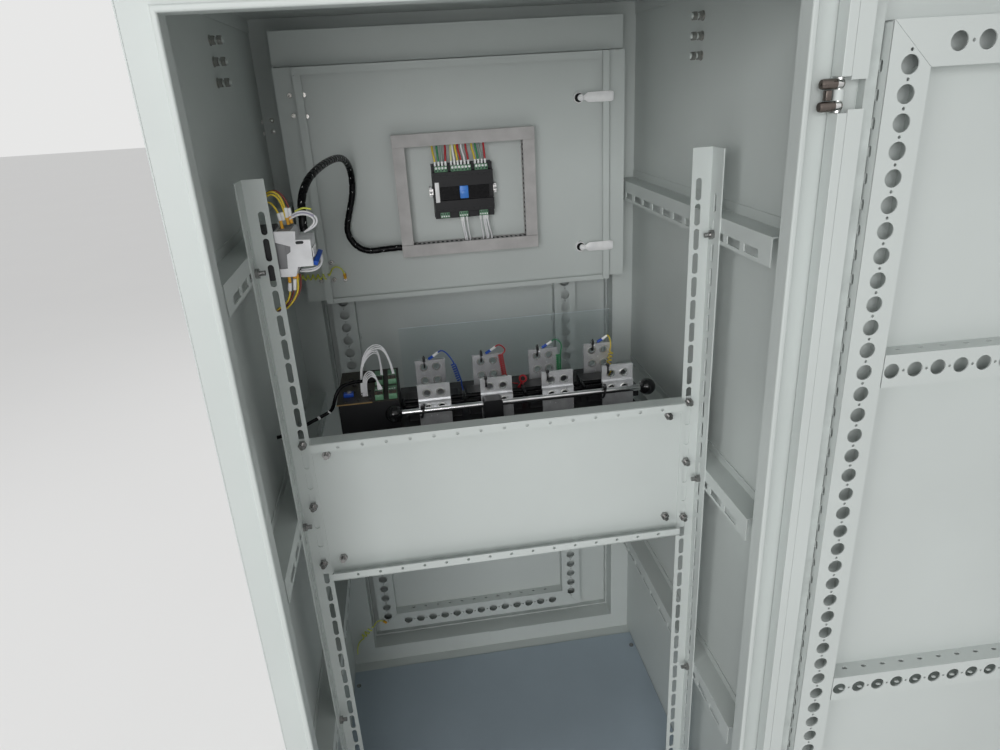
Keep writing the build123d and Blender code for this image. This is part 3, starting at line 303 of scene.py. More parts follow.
paintColour = (0.56, 0.60, 0.585)
finishes = {
    "paint": powderCoat("cabinetPaint", paintColour),
    "floorPaint": powderCoat("floorPaint", (0.37, 0.44, 0.50), 0.5, 0.2, 0.08),
    "zinc": metalFinish("zincSteel", (0.56, 0.56, 0.54), 0.34),
    "wornZinc": metalFinish("wornZinc", (0.36, 0.355, 0.35), 0.24, spread=0.08),
    # dark steel of the hinge arms, its darkness partly painted shade of their undersides and sides
    "hingeSteelAndShade": metalFinish("hingeSteelAndShade", (0.17, 0.145, 0.13), 0.30),
    "bright": metalFinish("brightPlate", (0.93, 0.92, 0.90), 0.30, (0.05, 1, 1), 0.06, 0.06),
    "chrome": metalFinish("chromePlate", (0.78, 0.78, 0.77), 0.13, (1, 1, 0.05), 0.05, 0.05),
    "stud": metalFinish("studSteel", (0.42, 0.41, 0.39), 0.20),
    "lever": plasticFinish("leverPlate", (0.94, 0.94, 0.95), 0.16, 0.03, 300.0, 0.9),
    "rod": metalFinish("brightRod", (0.74, 0.74, 0.75), 0.17, (0.05, 1, 1), 0.06, 0.1),
    "lug": metalFinish("tinnedLug", (0.84, 0.85, 0.87), 0.24, (1, 1, 0.5), 0.08, 0.04, 240.0, 0.55),
    "foam": plasticFinish("sealFoam", (0.52, 0.56, 0.545), 0.8, 0.5, 420.0, 0.2),
    "black": plasticFinish("blackMoulding", (0.018, 0.018, 0.020), 0.42),
    "gloss": plasticFinish("blackBall", (0.010, 0.010, 0.011), 0.12, 0.02),
    "sleeve": plasticFinish("spiralSleeve", (0.004, 0.004, 0.005), 0.26, 0.1, 300.0, 0.14),
    "tie": plasticFinish("cableTie", (0.012, 0.012, 0.013), 0.35, 0.1),
    "white": plasticFinish("whiteMoulding", (0.84, 0.84, 0.86), 0.38),
    "case": plasticFinish("controllerCase", (0.011, 0.011, 0.013), 0.45, specular=0.3),
    "brightWhite": plasticFinish("brightWhite", (0.94, 0.94, 0.95), 0.30, 0.05),
    "greyMoulding": plasticFinish("greyMoulding", (0.24, 0.24, 0.25), 0.45),
    "duct": plasticFinish("ductPlastic", (0.49, 0.475, 0.47), 0.5, 0.3, 500.0),
    "green": plasticFinish("greenTerminal", (0.13, 0.29, 0.17), 0.4),
    "darkGreen": plasticFinish("darkGreenSocket", (0.012, 0.055, 0.035), 0.45),
    "blue": plasticFinish("bluePlug", (0.01, 0.085, 0.48), 0.35),
    "capBlue": plasticFinish("capBlue", (0.05, 0.25, 0.78), 0.30),
    "board": boardFinish("circuitBoard", (0.02, 0.02, 0.018), (0.07, 0.05, 0.03)),
    "boardEdge": plasticFinish("boardEdge", (0.36, 0.23, 0.09), 0.5),
    # pale colour of a thin strip: a painted highlight along the clear shield's top edge
    "shieldPaintedHighlight": plasticFinish("shieldEdge", (0.72, 0.78, 0.80), 0.2),
    "clear": clearFinish("clearSheet", (0.93, 0.96, 0.97), 0.02),
    "holeShade": plasticFinish("holeShade", (0.03, 0.032, 0.033), 0.8, 0.1),
    "wireWhite": plasticFinish("wireWhite", (0.86, 0.86, 0.88), 0.34, 0.05),
    "ferrule": plasticFinish("orangeFerrule", (0.85, 0.43, 0.03), 0.36, 0.05),
    "studioFloor": floorFinish("studioFloor", studio),
}
wireColours = {
    "Yellow": (0.76, 0.58, 0.05), "Green": (0.03, 0.26, 0.10), "Grey": (0.28, 0.36, 0.33), "Red": (0.46, 0.012, 0.02),
    "Cream": (0.70, 0.72, 0.34), "Violet": (0.42, 0.40, 0.52), "Blue": (0.01, 0.07, 0.42), "Lime": (0.72, 0.76, 0.10),
    "Brown": (0.20, 0.035, 0.03),
}
for wireColour, shade in wireColours.items():
    finishes["wire" + wireColour] = plasticFinish("wire" + wireColour, shade, 0.36, 0.05)

nodeFinish = {
    "zinc": "switch_base module_rail instrument_hinge_frame_leaves instrument_hinge_door_leaves",
    "wornZinc": "cabinet_fasteners",
    "bright": "rear_door_upper_cam rear_door_lower_cam front_door_upper_cam front_door_lower_cam "
              "instrument_upper_cam instrument_lower_cam controller_clamps",
    "chrome": "rear_hinge_pins front_hinge_pins rear_door_latch_sleeves front_door_latch_sleeves",
    "foam": "rear_door_gasket front_door_gasket",
    "black": "instrument_latch_sleeves switch_body switch_drive handle_hub",
    "case": "controller",
    "gloss": "handle_knobs",
    "rod": "handle_rod",
    "lug": "near_terminals far_terminals",
    "board": "drive_board",
    "clear": "clear_shield",
    "white": "power_module",
    "blue": "module_plug",
    "green": "controller_plugs",
    "duct": "wiring_ducts",
    "sleeve": "wiring_loom",
    "floorPaint": "gland_plate",
}


def paintNodes(table):
    chosen = {name: finish for finish, names in table.items() for name in names.split()}
    for name, thing in nodes.items():
        thing.data.materials.clear()
        thing.data.materials.append(finishes[chosen.get(name, "paint")])


paintNodes(nodeFinish)
print("finishes ready,", len(finishes))


# Folded and cut edges: a small round on the sheet parts and mouldings

softEdges = {
    "weld": 0.01, "flatWithin": 1.0, "cornerOver": 40.0, "segments": 2,     # angles in degrees
    "widths": {
        0.8: "side_panel_right side_panel_left roof_panel rear_frame front_frame base_frame "
             "instrument_door_panel rear_door_panel front_door_panel",
        0.4: "depth_rail_upper_right depth_rail_upper_left depth_rail_middle_right depth_rail_middle_left "
             "depth_rail_lower_right depth_rail_lower_left switch_base controller switch_drive "
             "module_rail controller_clamps gland_plate",
        1.6: "switch_body",
    },
}


def softenEdges(look):
    for width, names in look["widths"].items():
        for name in names.split():
            modifiers = nodes[name].modifiers
            weld = modifiers.new("weld", "WELD")
            weld.merge_threshold = look["weld"] * mm
            plane = modifiers.new("plane", "DECIMATE")
            plane.decimate_type = "DISSOLVE"
            plane.angle_limit = math.radians(look["flatWithin"])
            bevel = modifiers.new("edge", "BEVEL")
            bevel.width = width * mm
            bevel.segments = look["segments"]
            bevel.limit_method = "ANGLE"
            bevel.angle_limit = math.radians(look["cornerOver"])


softenEdges(softEdges)
print("edges softened")


# Makers of pieces

def addPiece(name, data, finish):
    thing = bpy.data.objects.new(name, data)
    data.materials.append(finishes[finish])
    scene.collection.objects.link(thing)
    return thing


def ridePiece(name, data, finish, body):
    thing = addPiece(name, data, finish)
    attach(thing, body)
    return thing


def meshPiece(name, mesh, finish, body, smooth=None):
    if smooth:
        shadeSmooth(mesh, smooth)
    return ridePiece(name, mesh, finish, body)


def partsPiece(name, parts, finish, body, smooth=None):
    # one piece from pairs of a mesh and the matrix that places it
    return meshPiece(name, mergeMeshes(name, parts), finish, body, smooth)


def shadeSmooth(mesh, degrees):
    mesh.polygons.foreach_set("use_smooth", [True] * len(mesh.polygons))
    mesh.set_sharp_from_angle(angle=math.radians(degrees))


def placed(parts, place):
    return [(mesh, place @ own) for mesh, own in parts]


def mergeMeshes(name, parts):
    whole = bmesh.new()
    for mesh, place in parts:
        piece = mesh.copy()
        piece.transform(place)
        whole.from_mesh(piece)
        bpy.data.meshes.remove(piece)
    return closeShape(whole, name)


# Makers of shapes

def closeShape(shape, name):
    mesh = bpy.data.meshes.new(name)
    shape.to_mesh(mesh)
    shape.free()
    return mesh


def outwardShape(shape, name):
    bmesh.ops.recalc_face_normals(shape, faces=shape.faces[:])
    return closeShape(shape, name)


def skinRings(shape, rings, name, loop=False):
    # joins each ring of points to the next, and caps the ends or joins them too
    for a, b in zip(rings, rings[1:] + rings[:1] if loop else rings[1:]):
        for step in range(len(a)):
            following = (step + 1) % len(a)
            shape.faces.new((a[step], a[following], b[following], b[step]))
    if not loop:
        shape.faces.new(list(reversed(rings[0])))
        shape.faces.new(rings[-1])
    return outwardShape(shape, name)


def blockMesh(low, high, edge=0.4, segments=2):
    # block with rounded edges, at its own place
    shape = bmesh.new()
    bmesh.ops.create_cube(shape, size=1.0)
    size = [(b - a) * mm for a, b in zip(low, high)]
    centre = [(a + b) / 2 * mm for a, b in zip(low, high)]
    for vertex in shape.verts:
        vertex.co = Vector([c + v * s for c, v, s in zip(centre, vertex.co, size)])
    if edge:
        offset = min(edge * mm, min(size) * 0.45)      # a thin block keeps a flat between its rounds
        bmesh.ops.bevel(shape, geom=shape.edges[:], offset=offset, segments=segments, profile=0.5, affect="EDGES")
    return closeShape(shape, "block")


def blocks(boxes, edge=0.4):
    return [(blockMesh(low, high, edge), same) for low, high in boxes]


def latheMesh(profile, steps=24):
    # profile holds pairs of radius and height, turned about Z
    shape = bmesh.new()
    rings = []
    for radius, height in profile:
        if radius < 0.001:
            rings.append([shape.verts.new((0, 0, height * mm))])
            continue
        angles = [2 * math.pi * step / steps for step in range(steps)]
        rings.append([shape.verts.new((radius * mm * math.cos(a), radius * mm * math.sin(a), height * mm)) for a in angles])
    for lower, upper in zip(rings, rings[1:]):
        for step in range(steps):
            following = (step + 1) % steps
            corners = [lower[step % len(lower)], lower[following % len(lower)],
                       upper[following % len(upper)], upper[step % len(upper)]]
            unique = [c for i, c in enumerate(corners) if c not in corners[:i]]
            if len(unique) > 2:
                shape.faces.new(unique)
    return outwardShape(shape, "turned")


def curveMesh(data):
    # the mesh that a curve makes
    carrier = bpy.data.objects.new("carrier", data)
    scene.collection.objects.link(carrier)
    bpy.context.view_layer.update()
    mesh = bpy.data.meshes.new_from_object(carrier.evaluated_get(bpy.context.evaluated_depsgraph_get()))
    bpy.data.objects.remove(carrier)
    bpy.data.curves.remove(data)
    return mesh


def sheetMesh(outline, holes, thickness):
    # flat sheet in its own XY plane, its middle at Z = 0
    data = bpy.data.curves.new("sheet", "CURVE")
    data.dimensions = "2D"
    data.fill_mode = "BOTH"
    data.extrude = thickness / 2 * mm
    for ring in [outline, *holes]:
        spline = data.splines.new("POLY")
        spline.points.add(len(ring) - 1)
        for spot, (u, v) in zip(spline.points, ring):
            spot.co = (u * mm, v * mm, 0, 1)
        spline.use_cyclic_u = True
    return curveMesh(data)


def rectangle(u0, u1, v0, v1):
    return [(u0, v0), (u1, v0), (u1, v1), (u0, v1)]


def sheetPart(place, u0, u1, v0, v1, thickness=2.0):
    return sheetMesh(rectangle(u0, u1, v0, v1), [], thickness), place


def rowSheet(u0, u1, v0, v1, holes, thickness):
    # long flat sheet with one row of holes, made cell by cell with a hole in each
    axis = 0 if u1 - u0 > v1 - v0 else 1
    ends = (u0, u1) if axis == 0 else (v0, v1)
    order = sorted(holes, key=lambda ring: ring[0][axis])
    spots = [sum(spot[axis] for spot in ring) / len(ring) for ring in order]
    cuts = [ends[0]] + [(a + b) / 2 for a, b in zip(spots, spots[1:])] + [ends[1]]
    shape = bmesh.new()
    half = thickness / 2 * mm
    for ring, start, end in zip(order, cuts, cuts[1:]):
        outline = rectangle(start, end, v0, v1) if axis == 0 else rectangle(u0, u1, start, end)
        flat = [[Vector((u, v, 0)) * mm for u, v in points] for points in (outline, ring)]
        near = [shape.verts.new(spot + Vector((0, 0, half))) for points in flat for spot in points]
        far = [shape.verts.new(spot - Vector((0, 0, half))) for points in flat for spot in points]
        for a, b, c in tessellate_polygon(flat):
            shape.faces.new((near[a], near[b], near[c]))
            shape.faces.new((far[c], far[b], far[a]))
        for first, points in ((0, outline), (len(outline), ring)):
            for step, spot in enumerate(points):
                following = points[(step + 1) % len(points)]
                inside = spot[axis] == following[axis] and ends[0] < spot[axis] < ends[1]
                if first or not inside:
                    a, b = first + step, first + (step + 1) % len(points)
                    shape.faces.new((near[a], far[a], far[b], near[b]))
    bmesh.ops.remove_doubles(shape, verts=shape.verts[:], dist=0.001 * mm)
    bmesh.ops.recalc_face_normals(shape, faces=shape.faces[:])
    return closeShape(shape, "sheet")


def roundHole(u, v, radius, sides=28):
    return [
        (u + radius * math.cos(2 * math.pi * step / sides), v + radius * math.sin(2 * math.pi * step / sides))
        for step in range(sides)
    ]


def slotHole(u, v, width, height, sides=8):
    # rounded ends along the longer side
    radius = min(width, height) / 2
    reach = max(width, height) / 2 - radius
    upright = height > width
    ring = []
    for end in (1, -1):
        for step in range(sides + 1):
            angle = math.pi * step / sides + (0 if end > 0 else math.pi)
            a, b = radius * math.cos(angle), radius * math.sin(angle) + end * reach
            ring.append((u + a, v + b) if upright else (u + b, v - a))
    return ring


def addSmoothLine(data, route):
    spline = data.splines.new("NURBS")
    spline.points.add(len(route) - 1)
    for spot, place in zip(spline.points, route):
        spot.co = (*(Vector(place) * mm), 1)
    spline.order_u = 3
    spline.use_endpoint_u = True


def wireCurve(name, routes, diameter, finish, body, sides=3):
    # one curve object with a smooth line for each route
    data = bpy.data.curves.new(name, "CURVE")
    data.dimensions = "3D"
    data.bevel_depth = diameter / 2 * mm
    data.bevel_resolution = sides
    data.resolution_u = 6
    data.use_fill_caps = True
    for route in routes:
        addSmoothLine(data, route)
    return ridePiece(name, data, finish, body)


def routeLine(route):
    # points read from a route's smooth line
    data = bpy.data.curves.new("route", "CURVE")
    data.dimensions = "3D"
    data.resolution_u = 24
    addSmoothLine(data, route)
    return [vertex.co.copy() for vertex in curveMesh(data).vertices]


def evenly(places, step):
    # the same line, with points a step apart
    spread, left = [places[0].copy()], step
    for a, b in zip(places, places[1:]):
        run = (b - a).length
        while run >= left > 0:
            a = a.lerp(b, left / run)
            spread.append(a.copy())
            run, left = (b - a).length, step
        left -= run
    spread.append(places[-1].copy())
    return spread


def tubeMesh(places, side, steps, radiusAt):
    # radiusAt is given the length so far and the share of a turn
    shape = bmesh.new()
    rings, travelled = [], 0.0
    for index, place in enumerate(places):
        ahead = (places[min(index + 1, len(places) - 1)] - places[max(index - 1, 0)]).normalized()
        side = (side - ahead * side.dot(ahead)).normalized()
        other = ahead.cross(side)
        if index:
            travelled += (place - places[index - 1]).length / mm
        ring = []
        for step in range(steps):
            angle = 2 * math.pi * step / steps
            radius = radiusAt(travelled, step / steps) * mm
            ring.append(shape.verts.new(place + (side * math.cos(angle) + other * math.sin(angle)) * radius))
        rings.append(ring)
    return skinRings(shape, rings, "tube")


print("makers ready")


# Perforated frames inside the two doors

perforated = {
    "column": 532.6,           # between the middles of the two columns
    "lines": (150.0, 591.0, 1162.0, 1570.0),
    "stripWidth": 52.0,
    "barWidth": 48.0,
    "standoff": 30.0,          # from the door's skin to the perforated face
    "sheet": 2.0,
    "hole": 11.0,              # radii
    "smallHole": 2.1,
    "columnPitch": 32.0,
    "columnCount": 44,
    "rowPitch": 35.0,
    "rowCount": 13,
    "barPitch": 33.4,
    "barCount": 14,
    "barFirst": 39.7,
    "slots": {                 # across the flange, along it, and depth from the perforated face
        "outer": (7.0, 14.5, 13.5),
        "inner": (5.5, 9.0, 17.0),
    },
    "seam": 0.5,               # hairline at the mitres and at the ends of the crossbars
    "barSeam": 1.5,
    "weldPitch": 131.0,
    "weld": [(0, 2.6), (2.7, 1.9), (3.6, 0.7), (3.6, -0.6)], "weldStretch": (0.9, 2.2, 1, 1),
    "weldOut": 1.2, "weldLift": 0.6,
    "smallSides": 10, "slotSides": 4, "slotRoom": 9.0,      # from a slot's middle to the end of its side
    "face": -396.0,            # middle of the sheet, door closed at the rear
    "hingeColumn": {"rear": 323.5, "front": 292.9},
    "pin": (395.0, -415.0),
}
doorTurns = {"rear": 178.0, "front": 180.0}


def between(spots):
    return [(a + b) / 2 for a, b in zip(spots, spots[1:])]


def evenRow(middle, pitch, count):
    return [middle + pitch * (i - (count - 1) / 2) for i in range(count)]


def perforatedParts(look):
    # drawn with u from the hinge-side column, v up and w out of the perforated face
    half, sheet, width = look["stripWidth"] / 2, look["sheet"], look["column"]
    low, high = look["lines"][0], look["lines"][-1]
    reach, inset, depth = look["barWidth"] / 2, sheet / 2, look["standoff"] - sheet
    columns = evenRow((low + high) / 2, look["columnPitch"], look["columnCount"])
    rows = evenRow(width / 2, look["rowPitch"], look["rowCount"])
    bars = [look["barFirst"] + look["barPitch"] * i for i in range(look["barCount"])]
    outer = [(-half, low - half), (width + half, low - half), (width + half, high + half), (-half, high + half)]
    inner = [(half, low + half), (width - half, low + half), (width - half, high - half), (half, high - half)]
    parts = []

    def addFace(outline, spots, smallSpots, spotAt):
        holes = [roundHole(*spotAt(spot), look["hole"]) for spot in spots]
        holes += [roundHole(*spotAt(spot), look["smallHole"], look["smallSides"]) for spot in smallSpots]
        parts.append((sheetMesh(outline, holes, sheet), same))

    def addSide(origin, direction, start, end, spots, kind="inner"):
        across, long, down = look["slots"][kind]
        room, sides = look["slotRoom"], look["slotSides"]
        holes = [slotHole(s, -down, long, across, sides) for s in spots if start + room < s < end - room]
        parts.append((rowSheet(start, end, -depth, 0, holes, sheet), basis(origin, direction, (0, 0, 1))))

    ends = [columns[0] - look["columnPitch"] / 2, columns[-1] + look["columnPitch"] / 2]
    for side in range(4):
        following = (side + 1) % 4
        outline = [outer[side], outer[following], inner[following], inner[side]]
        if side % 2:
            column = width if side == 1 else 0.0
            addFace(outline, columns, between(columns) + ends, lambda v: (column, v))
        else:
            line = low if side == 0 else high
            outline = [(u + math.copysign(look["seam"], width / 2 - u), v) for u, v in outline]
            addFace(outline, rows, between(rows), lambda u: (u, line))
    seam = look["barSeam"]
    for line in look["lines"][1:-1]:
        outline = rectangle(half + seam, width - half - seam, line - reach, line + reach)
        addFace(outline, bars, between(bars), lambda u: (u, line))

    for u in (-half + inset, width + half - inset):
        addSide((u, 0, -inset), (0, 1, 0), low - half, high + half, columns, "outer")
    for v in (low - half + inset, high + half - inset):
        addSide((0, v, -inset), (1, 0, 0), -half, width + half, between(rows), "outer")
    edges = [low + half]
    for line in look["lines"][1:-1]:
        edges += [line - reach, line + reach]
    edges.append(high - half)
    for pane, (start, end) in enumerate(zip(edges[::2], edges[1::2])):
        for u in (half - inset, width - half + inset):
            addSide((u, 0, -inset), (0, 1, 0), start, end, between(columns))
        addSide((0, start - inset, -inset), (1, 0, 0), half, width - half, between(rows if pane == 0 else bars))
        addSide((0, end + inset, -inset), (1, 0, 0), half, width - half, between(rows if pane == 2 else bars))
    return parts


def weldParts(look):
    # short fillet welds where the frame's sides meet the door's skin
    half, width, out = look["stripWidth"] / 2, look["column"], look["weldOut"]
    low, high = look["lines"][0], look["lines"][-1]
    bead = latheMesh(look["weld"], 12)
    depth = look["weldLift"] - look["standoff"] + look["sheet"] / 2
    count = int((high - low) / look["weldPitch"])
    parts = []
    for i in range(count + 1):
        v = low + (high - low) * i / count
        for u in (-half - out, half + out, width - half - out, width + half + out):
            parts.append((bead, at(u, v, depth) @ Matrix.Diagonal(look["weldStretch"])))
    return parts


def doorTurn(side):
    # from a door drawn closed at the rear to that door at rest
    turn = Matrix.Rotation(math.radians(doorTurns[side]), 4, "Z")
    pin = at(*perforated["pin"], 0)
    return turn if side == "front" else pin @ turn @ pin.inverted()


def doorPlace(side):
    # from the frame's own axes to the door at rest
    look = perforated
    return doorTurn(side) @ basis((look["hingeColumn"][side], look["face"], 0), (-1, 0, 0), (0, 0, 1))


def makeDoorFrames(look):
    parts, welds = perforatedParts(look), weldParts(look)
    for side in doorTurns:
        place, body = doorPlace(side), side + "_door"
        whole = partsPiece(side + "DoorPerforatedFrame", placed(parts, place), "paint", body)
        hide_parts(side + "_door_frame")
        partsPiece(side + "DoorWelds", placed(welds, place), "paint", body, 60)


makeDoorFrames(perforated)
print("door frames ready")


# Doors: the wide inner lip beside the seal, and the hinges

doorTrim = {
    "lip": (368.0, 388.0), "lipFace": -404.0, "lipEnds": (17.0, 1683.0),
    "hingeHeights": {"rear": (1519.0, 190.0), "front": (1499.0, 212.0)},
    "hingeRoom": 16.4,         # above and below each hinge, where the lip stops
    "armStep": 12.6, "armEnds": (369.5, 400.5),
    "armTip": [(0, 0), (3.0, 0.4), (5.22, 1.8), (6.0, 4.6)],      # radius, distance from the arm's end
    "neck": ((377.0, -410.0, -2.2), (384.0, -400.2, 2.2)), "neckEdge": 0.8,
    "spacer": ((377.5, -418.0, -6.0), (385.5, -410.0, 6.0)), "spacerEdge": 1.5,
    "knuckle": [(5.8, 0), (6.4, 0.6), (6.4, 11.4), (5.8, 12.0)], "knuckleHalf": 6.0,
    "dome": [(4.88, 0), (6.1, 0.8), (6.1, 6.38), (5.246, 9.048), (3.05, 11.02), (0, 11.6)], "domeStart": 389.4,
    "sides": 28,
}


def makeOuterDoorLips(look, side, turn):
    low, high = look["lipEnds"]
    inner, outer = look["lip"]
    lower, upper = sorted(look["hingeHeights"][side])
    room, wide = look["hingeRoom"], outer - inner
    stretches = [(low, lower - room), (lower + room, upper - room), (upper + room, high)]
    sheets = [(inner, outer, a, b) for a, b in stretches] + [(-outer, -inner, low, high)]
    sheets += [(-inner, inner, low, low + wide), (-inner, inner, high - wide, high)]
    parts = [sheetPart(turn @ facing(look["lipFace"]), *sheet) for sheet in sheets]
    lips = partsPiece(side + "DoorInnerLip", parts, "paint", side + "_door")


def makeOuterHinges(look, side, turn):
    post = same if side == "rear" else turn
    pinX, pinY = perforated["pin"]
    start, end = look["armEnds"]
    tip = look["armTip"]
    arm = latheMesh(tip + [(radius, end - start - depth) for radius, depth in reversed(tip)], look["sides"])
    dome, knuckle = latheMesh(look["dome"], look["sides"]), latheMesh(look["knuckle"], look["sides"])
    neck, spacer = blockMesh(*look["neck"], look["neckEdge"]), blockMesh(*look["spacer"], look["spacerEdge"])
    arms, domes, knuckles = [], [], []
    for height in look["hingeHeights"][side]:
        for level in (height - look["armStep"], height + look["armStep"]):
            arms += [(arm, post @ along((start, pinY, level), (1, 0, 0))), (neck, post @ at(0, 0, level))]
            domes.append((dome, post @ along((look["domeStart"], pinY, level), (1, 0, 0))))
        arms.append((spacer, post @ at(0, 0, height)))
        knuckles.append((knuckle, turn @ at(pinX, pinY, height - look["knuckleHalf"])))
    # the arms' dark finish is partly steel colour and partly painted shade
    piece = partsPiece(side + "HingeArms", arms, "hingeSteelAndShade", "cabinet", 40)
    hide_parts(side + "_hinge_post_leaves")
    partsPiece(side + "HingeDomes", domes, "chrome", "cabinet", 40)
    partsPiece(side + "HingeKnuckles", knuckles, "bright", side + "_door", 40)


for doorSide in doorTurns:
    makeOuterDoorLips(doorTrim, doorSide, doorTurn(doorSide))
    makeOuterHinges(doorTrim, doorSide, doorTurn(doorSide))
print("door lips and hinges ready")


# Uprights, with a slotted face and a slotted side

upright = {
    "inner": 326.0, "outer": 360.0, "face": -152.0, "rear": -194.0, "low": 57.0, "high": 1445.0, "sheet": 2.0,
    "slotLine": 338.0, "slotMiddle": 861.0, "slotPitch": 40.0, "slotsAbove": 13, "slotsBelow": 19, "slot": (9.5, 35.0),
    "sideLine": -172.0, "sideSlot": (9.0, 30.0),
}


def makeUprights(look):
    low, high, sheet = look["low"], look["high"], look["sheet"]
    spots = [look["slotMiddle"] + look["slotPitch"] * i for i in range(-look["slotsBelow"], look["slotsAbove"] + 1)]
    holes = [slotHole(look["slotLine"], v, *look["slot"]) for v in spots]
    face = rowSheet(look["inner"], look["outer"], low, high, holes, sheet)
    holes = [slotHole(look["sideLine"], v + look["slotPitch"] / 2, *look["sideSlot"]) for v in spots[:-1]]
    wall = rowSheet(look["rear"], look["face"] - sheet / 2, low, high, holes, sheet)
    for side in ("Right", "Left"):
        mesh = mergeMeshes("upright", [(face, facing(look["face"])), (wall, sideways(look["outer"] - sheet / 2))])
        if side == "Left":
            mesh.transform(Matrix.Diagonal((-1, 1, 1, 1)))
            mesh.flip_normals()
        piece = ridePiece("slottedUpright" + side, mesh, "paint", "cabinet")
        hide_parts("upright_" + side.lower())


makeUprights(upright)


# Mounting plate with a row of small holes in each lip

plate = {
    "half": 350.0, "lipHalf": 324.0, "front": -150.0, "lip": -175.0, "low": 744.0, "high": 1020.0, "sheet": 2.0,
    "topLip": 1004.0, "bottomLip": 758.6, "holePitch": 40.0, "holeFirst": -278.0, "holeCount": 15, "hole": 2.8,
    "bolts": [(338.0, 1011.0), (338.0, 890.0), (338.0, 770.0), (302.0, 987.5), (302.0, 776.0)], "boltHole": 4.3,
    "boltSides": 16, "holeSides": 14,
}


def makePlate(look):
    sheet, low, high, reach = look["sheet"], look["low"], look["high"], look["lipHalf"]
    bolts = [roundHole(side * x, z, look["boltHole"], look["boltSides"]) for x, z in look["bolts"] for side in (-1, 1)]
    spots = [look["holeFirst"] + look["holePitch"] * i for i in range(look["holeCount"])]
    parts = [(sheetMesh(rectangle(-look["half"], look["half"], low, high), bolts, sheet), facing(look["front"]))]
    for start, end in ((look["topLip"], high - sheet), (low + sheet, look["bottomLip"])):
        holes = [roundHole(u, (start + end) / 2, look["hole"], look["holeSides"]) for u in spots]
        parts.append((rowSheet(-reach, reach, start, end, holes, sheet), facing(look["lip"])))
    rear, front = look["lip"] - sheet / 2, look["front"] - sheet / 2
    for z in (high - sheet / 2, low + sheet / 2):
        parts.append(sheetPart(lying(z), -reach, reach, rear, front))
    piece = partsPiece("perforatedMountingPlate", parts, "paint", "cabinet")
    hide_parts("mounting_plate")


makePlate(plate)
print("uprights and plate ready")


# Instrument frame: a set-back header, two strips, and the return lips of the door between them

instrument = {
    "half": 355.0, "leftInner": 315.0, "rightInner": 323.0, "low": 1134.0, "stripTop": 1606.0, "sheet": 2.0,
    "face": 298.0, "headerFace": 313.0, "headerLow": 1607.6, "headerHigh": 1672.0, "foot": 13.0, "front": 361.0,
    "notch": (353.0, 1337.0, 1404.0),      # the front door's latch cam swings here
    "lipFace": 286.0, "doorFace": 297.0,
    "lips": {
        "left": (-316.5, -301.0, 1129.0, 1590.2), "top": (-316.5, 304.2, 1590.8, 1605.4),
        "right": (305.0, 319.0, 1129.0, 1605.4), "bottom": (-300.4, 304.2, 1129.0, 1139.5),
    },
}


def makeInstrumentFrame(look):
    half, sheet, face, front = look["half"], look["sheet"], look["face"], look["front"]
    low, top, high, foot = look["low"], look["stripTop"], look["headerHigh"], look["foot"]
    notchRear, notchLow, notchHigh = look["notch"]
    rear, inside = face + sheet / 2, front - sheet
    step = look["headerFace"] + sheet / 2
    footPlace = facing(front - sheet / 2)
    parts = []
    for side, inner in ((-1, look["leftInner"]), (1, look["rightInner"])):
        parts.append(sheetPart(facing(face), *sorted((side * inner, side * half)), low, top))
        web = [(rear, low), (inside, low)]
        feet = [(low, high)]
        if side > 0:
            web += [(inside, notchLow), (notchRear, notchLow), (notchRear, notchHigh), (inside, notchHigh)]
            feet = [(low, notchLow), (notchHigh, high)]
        web += [(inside, high), (step, high), (step, top), (rear, top)]
        parts.append((sheetMesh(web, [], sheet), sideways(side * (half - sheet / 2))))
        parts += [sheetPart(footPlace, *sorted((side * (half - foot), side * half)), z0, z1) for z0, z1 in feet]
    parts.append(sheetPart(facing(look["headerFace"]), -half, half, look["headerLow"], high))
    parts.append(sheetPart(lying(high - sheet / 2), sheet - half, half - sheet, step, inside))
    parts.append(sheetPart(footPlace, foot - half, half - foot, high - foot, high))
    piece = partsPiece("instrumentSurround", parts, "paint", "cabinet")
    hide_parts("instrument_frame")


def makeInstrumentDoorLips(look):
    sheet, lips = look["sheet"], look["lips"]
    near, far = look["lipFace"] + sheet / 2, look["doorFace"]
    left, right = lips["left"][0], lips["right"][1]
    low, high = lips["left"][2], lips["top"][3]
    parts = [sheetPart(facing(look["lipFace"]), *lip) for lip in lips.values()]
    parts += [sheetPart(sideways(x), near, far, low, high) for x in (left + sheet / 2, right - sheet / 2)]
    for z in (low + sheet / 2, high - sheet / 2):
        parts.append(sheetPart(lying(z), left + sheet, right - sheet, near, far))
    piece = partsPiece("instrumentDoorLips", parts, "paint", "instrument_door")


makeInstrumentFrame(instrument)
makeInstrumentDoorLips(instrument)
print("instrument frame ready")


# Wiring ducts: a back, two slotted walls and a cover each

duct = {
    "left": -140.0, "right": 153.0, "low": 1222.0, "high": 1470.0, "width": 25.0, "back": 297.0, "front": 257.0,
    "wall": 1.3, "cover": 1.6, "coverRim": 6.0, "slotWide": 5.6, "slotPitch": 10.0, "slotFoot": 5.0,
    "setBack": 2.5,            # of the two upright ducts, under the ends of the others
    "wallInset": 1.6, "fillInset": 2.6,                    # in walls, from the duct's side
    "combOver": 2.0, "slotEnd": 3.0, "rimShort": 0.4,
    "fillEnd": 2.0, "fillBack": 1.4, "fillShort": 2.0,
}


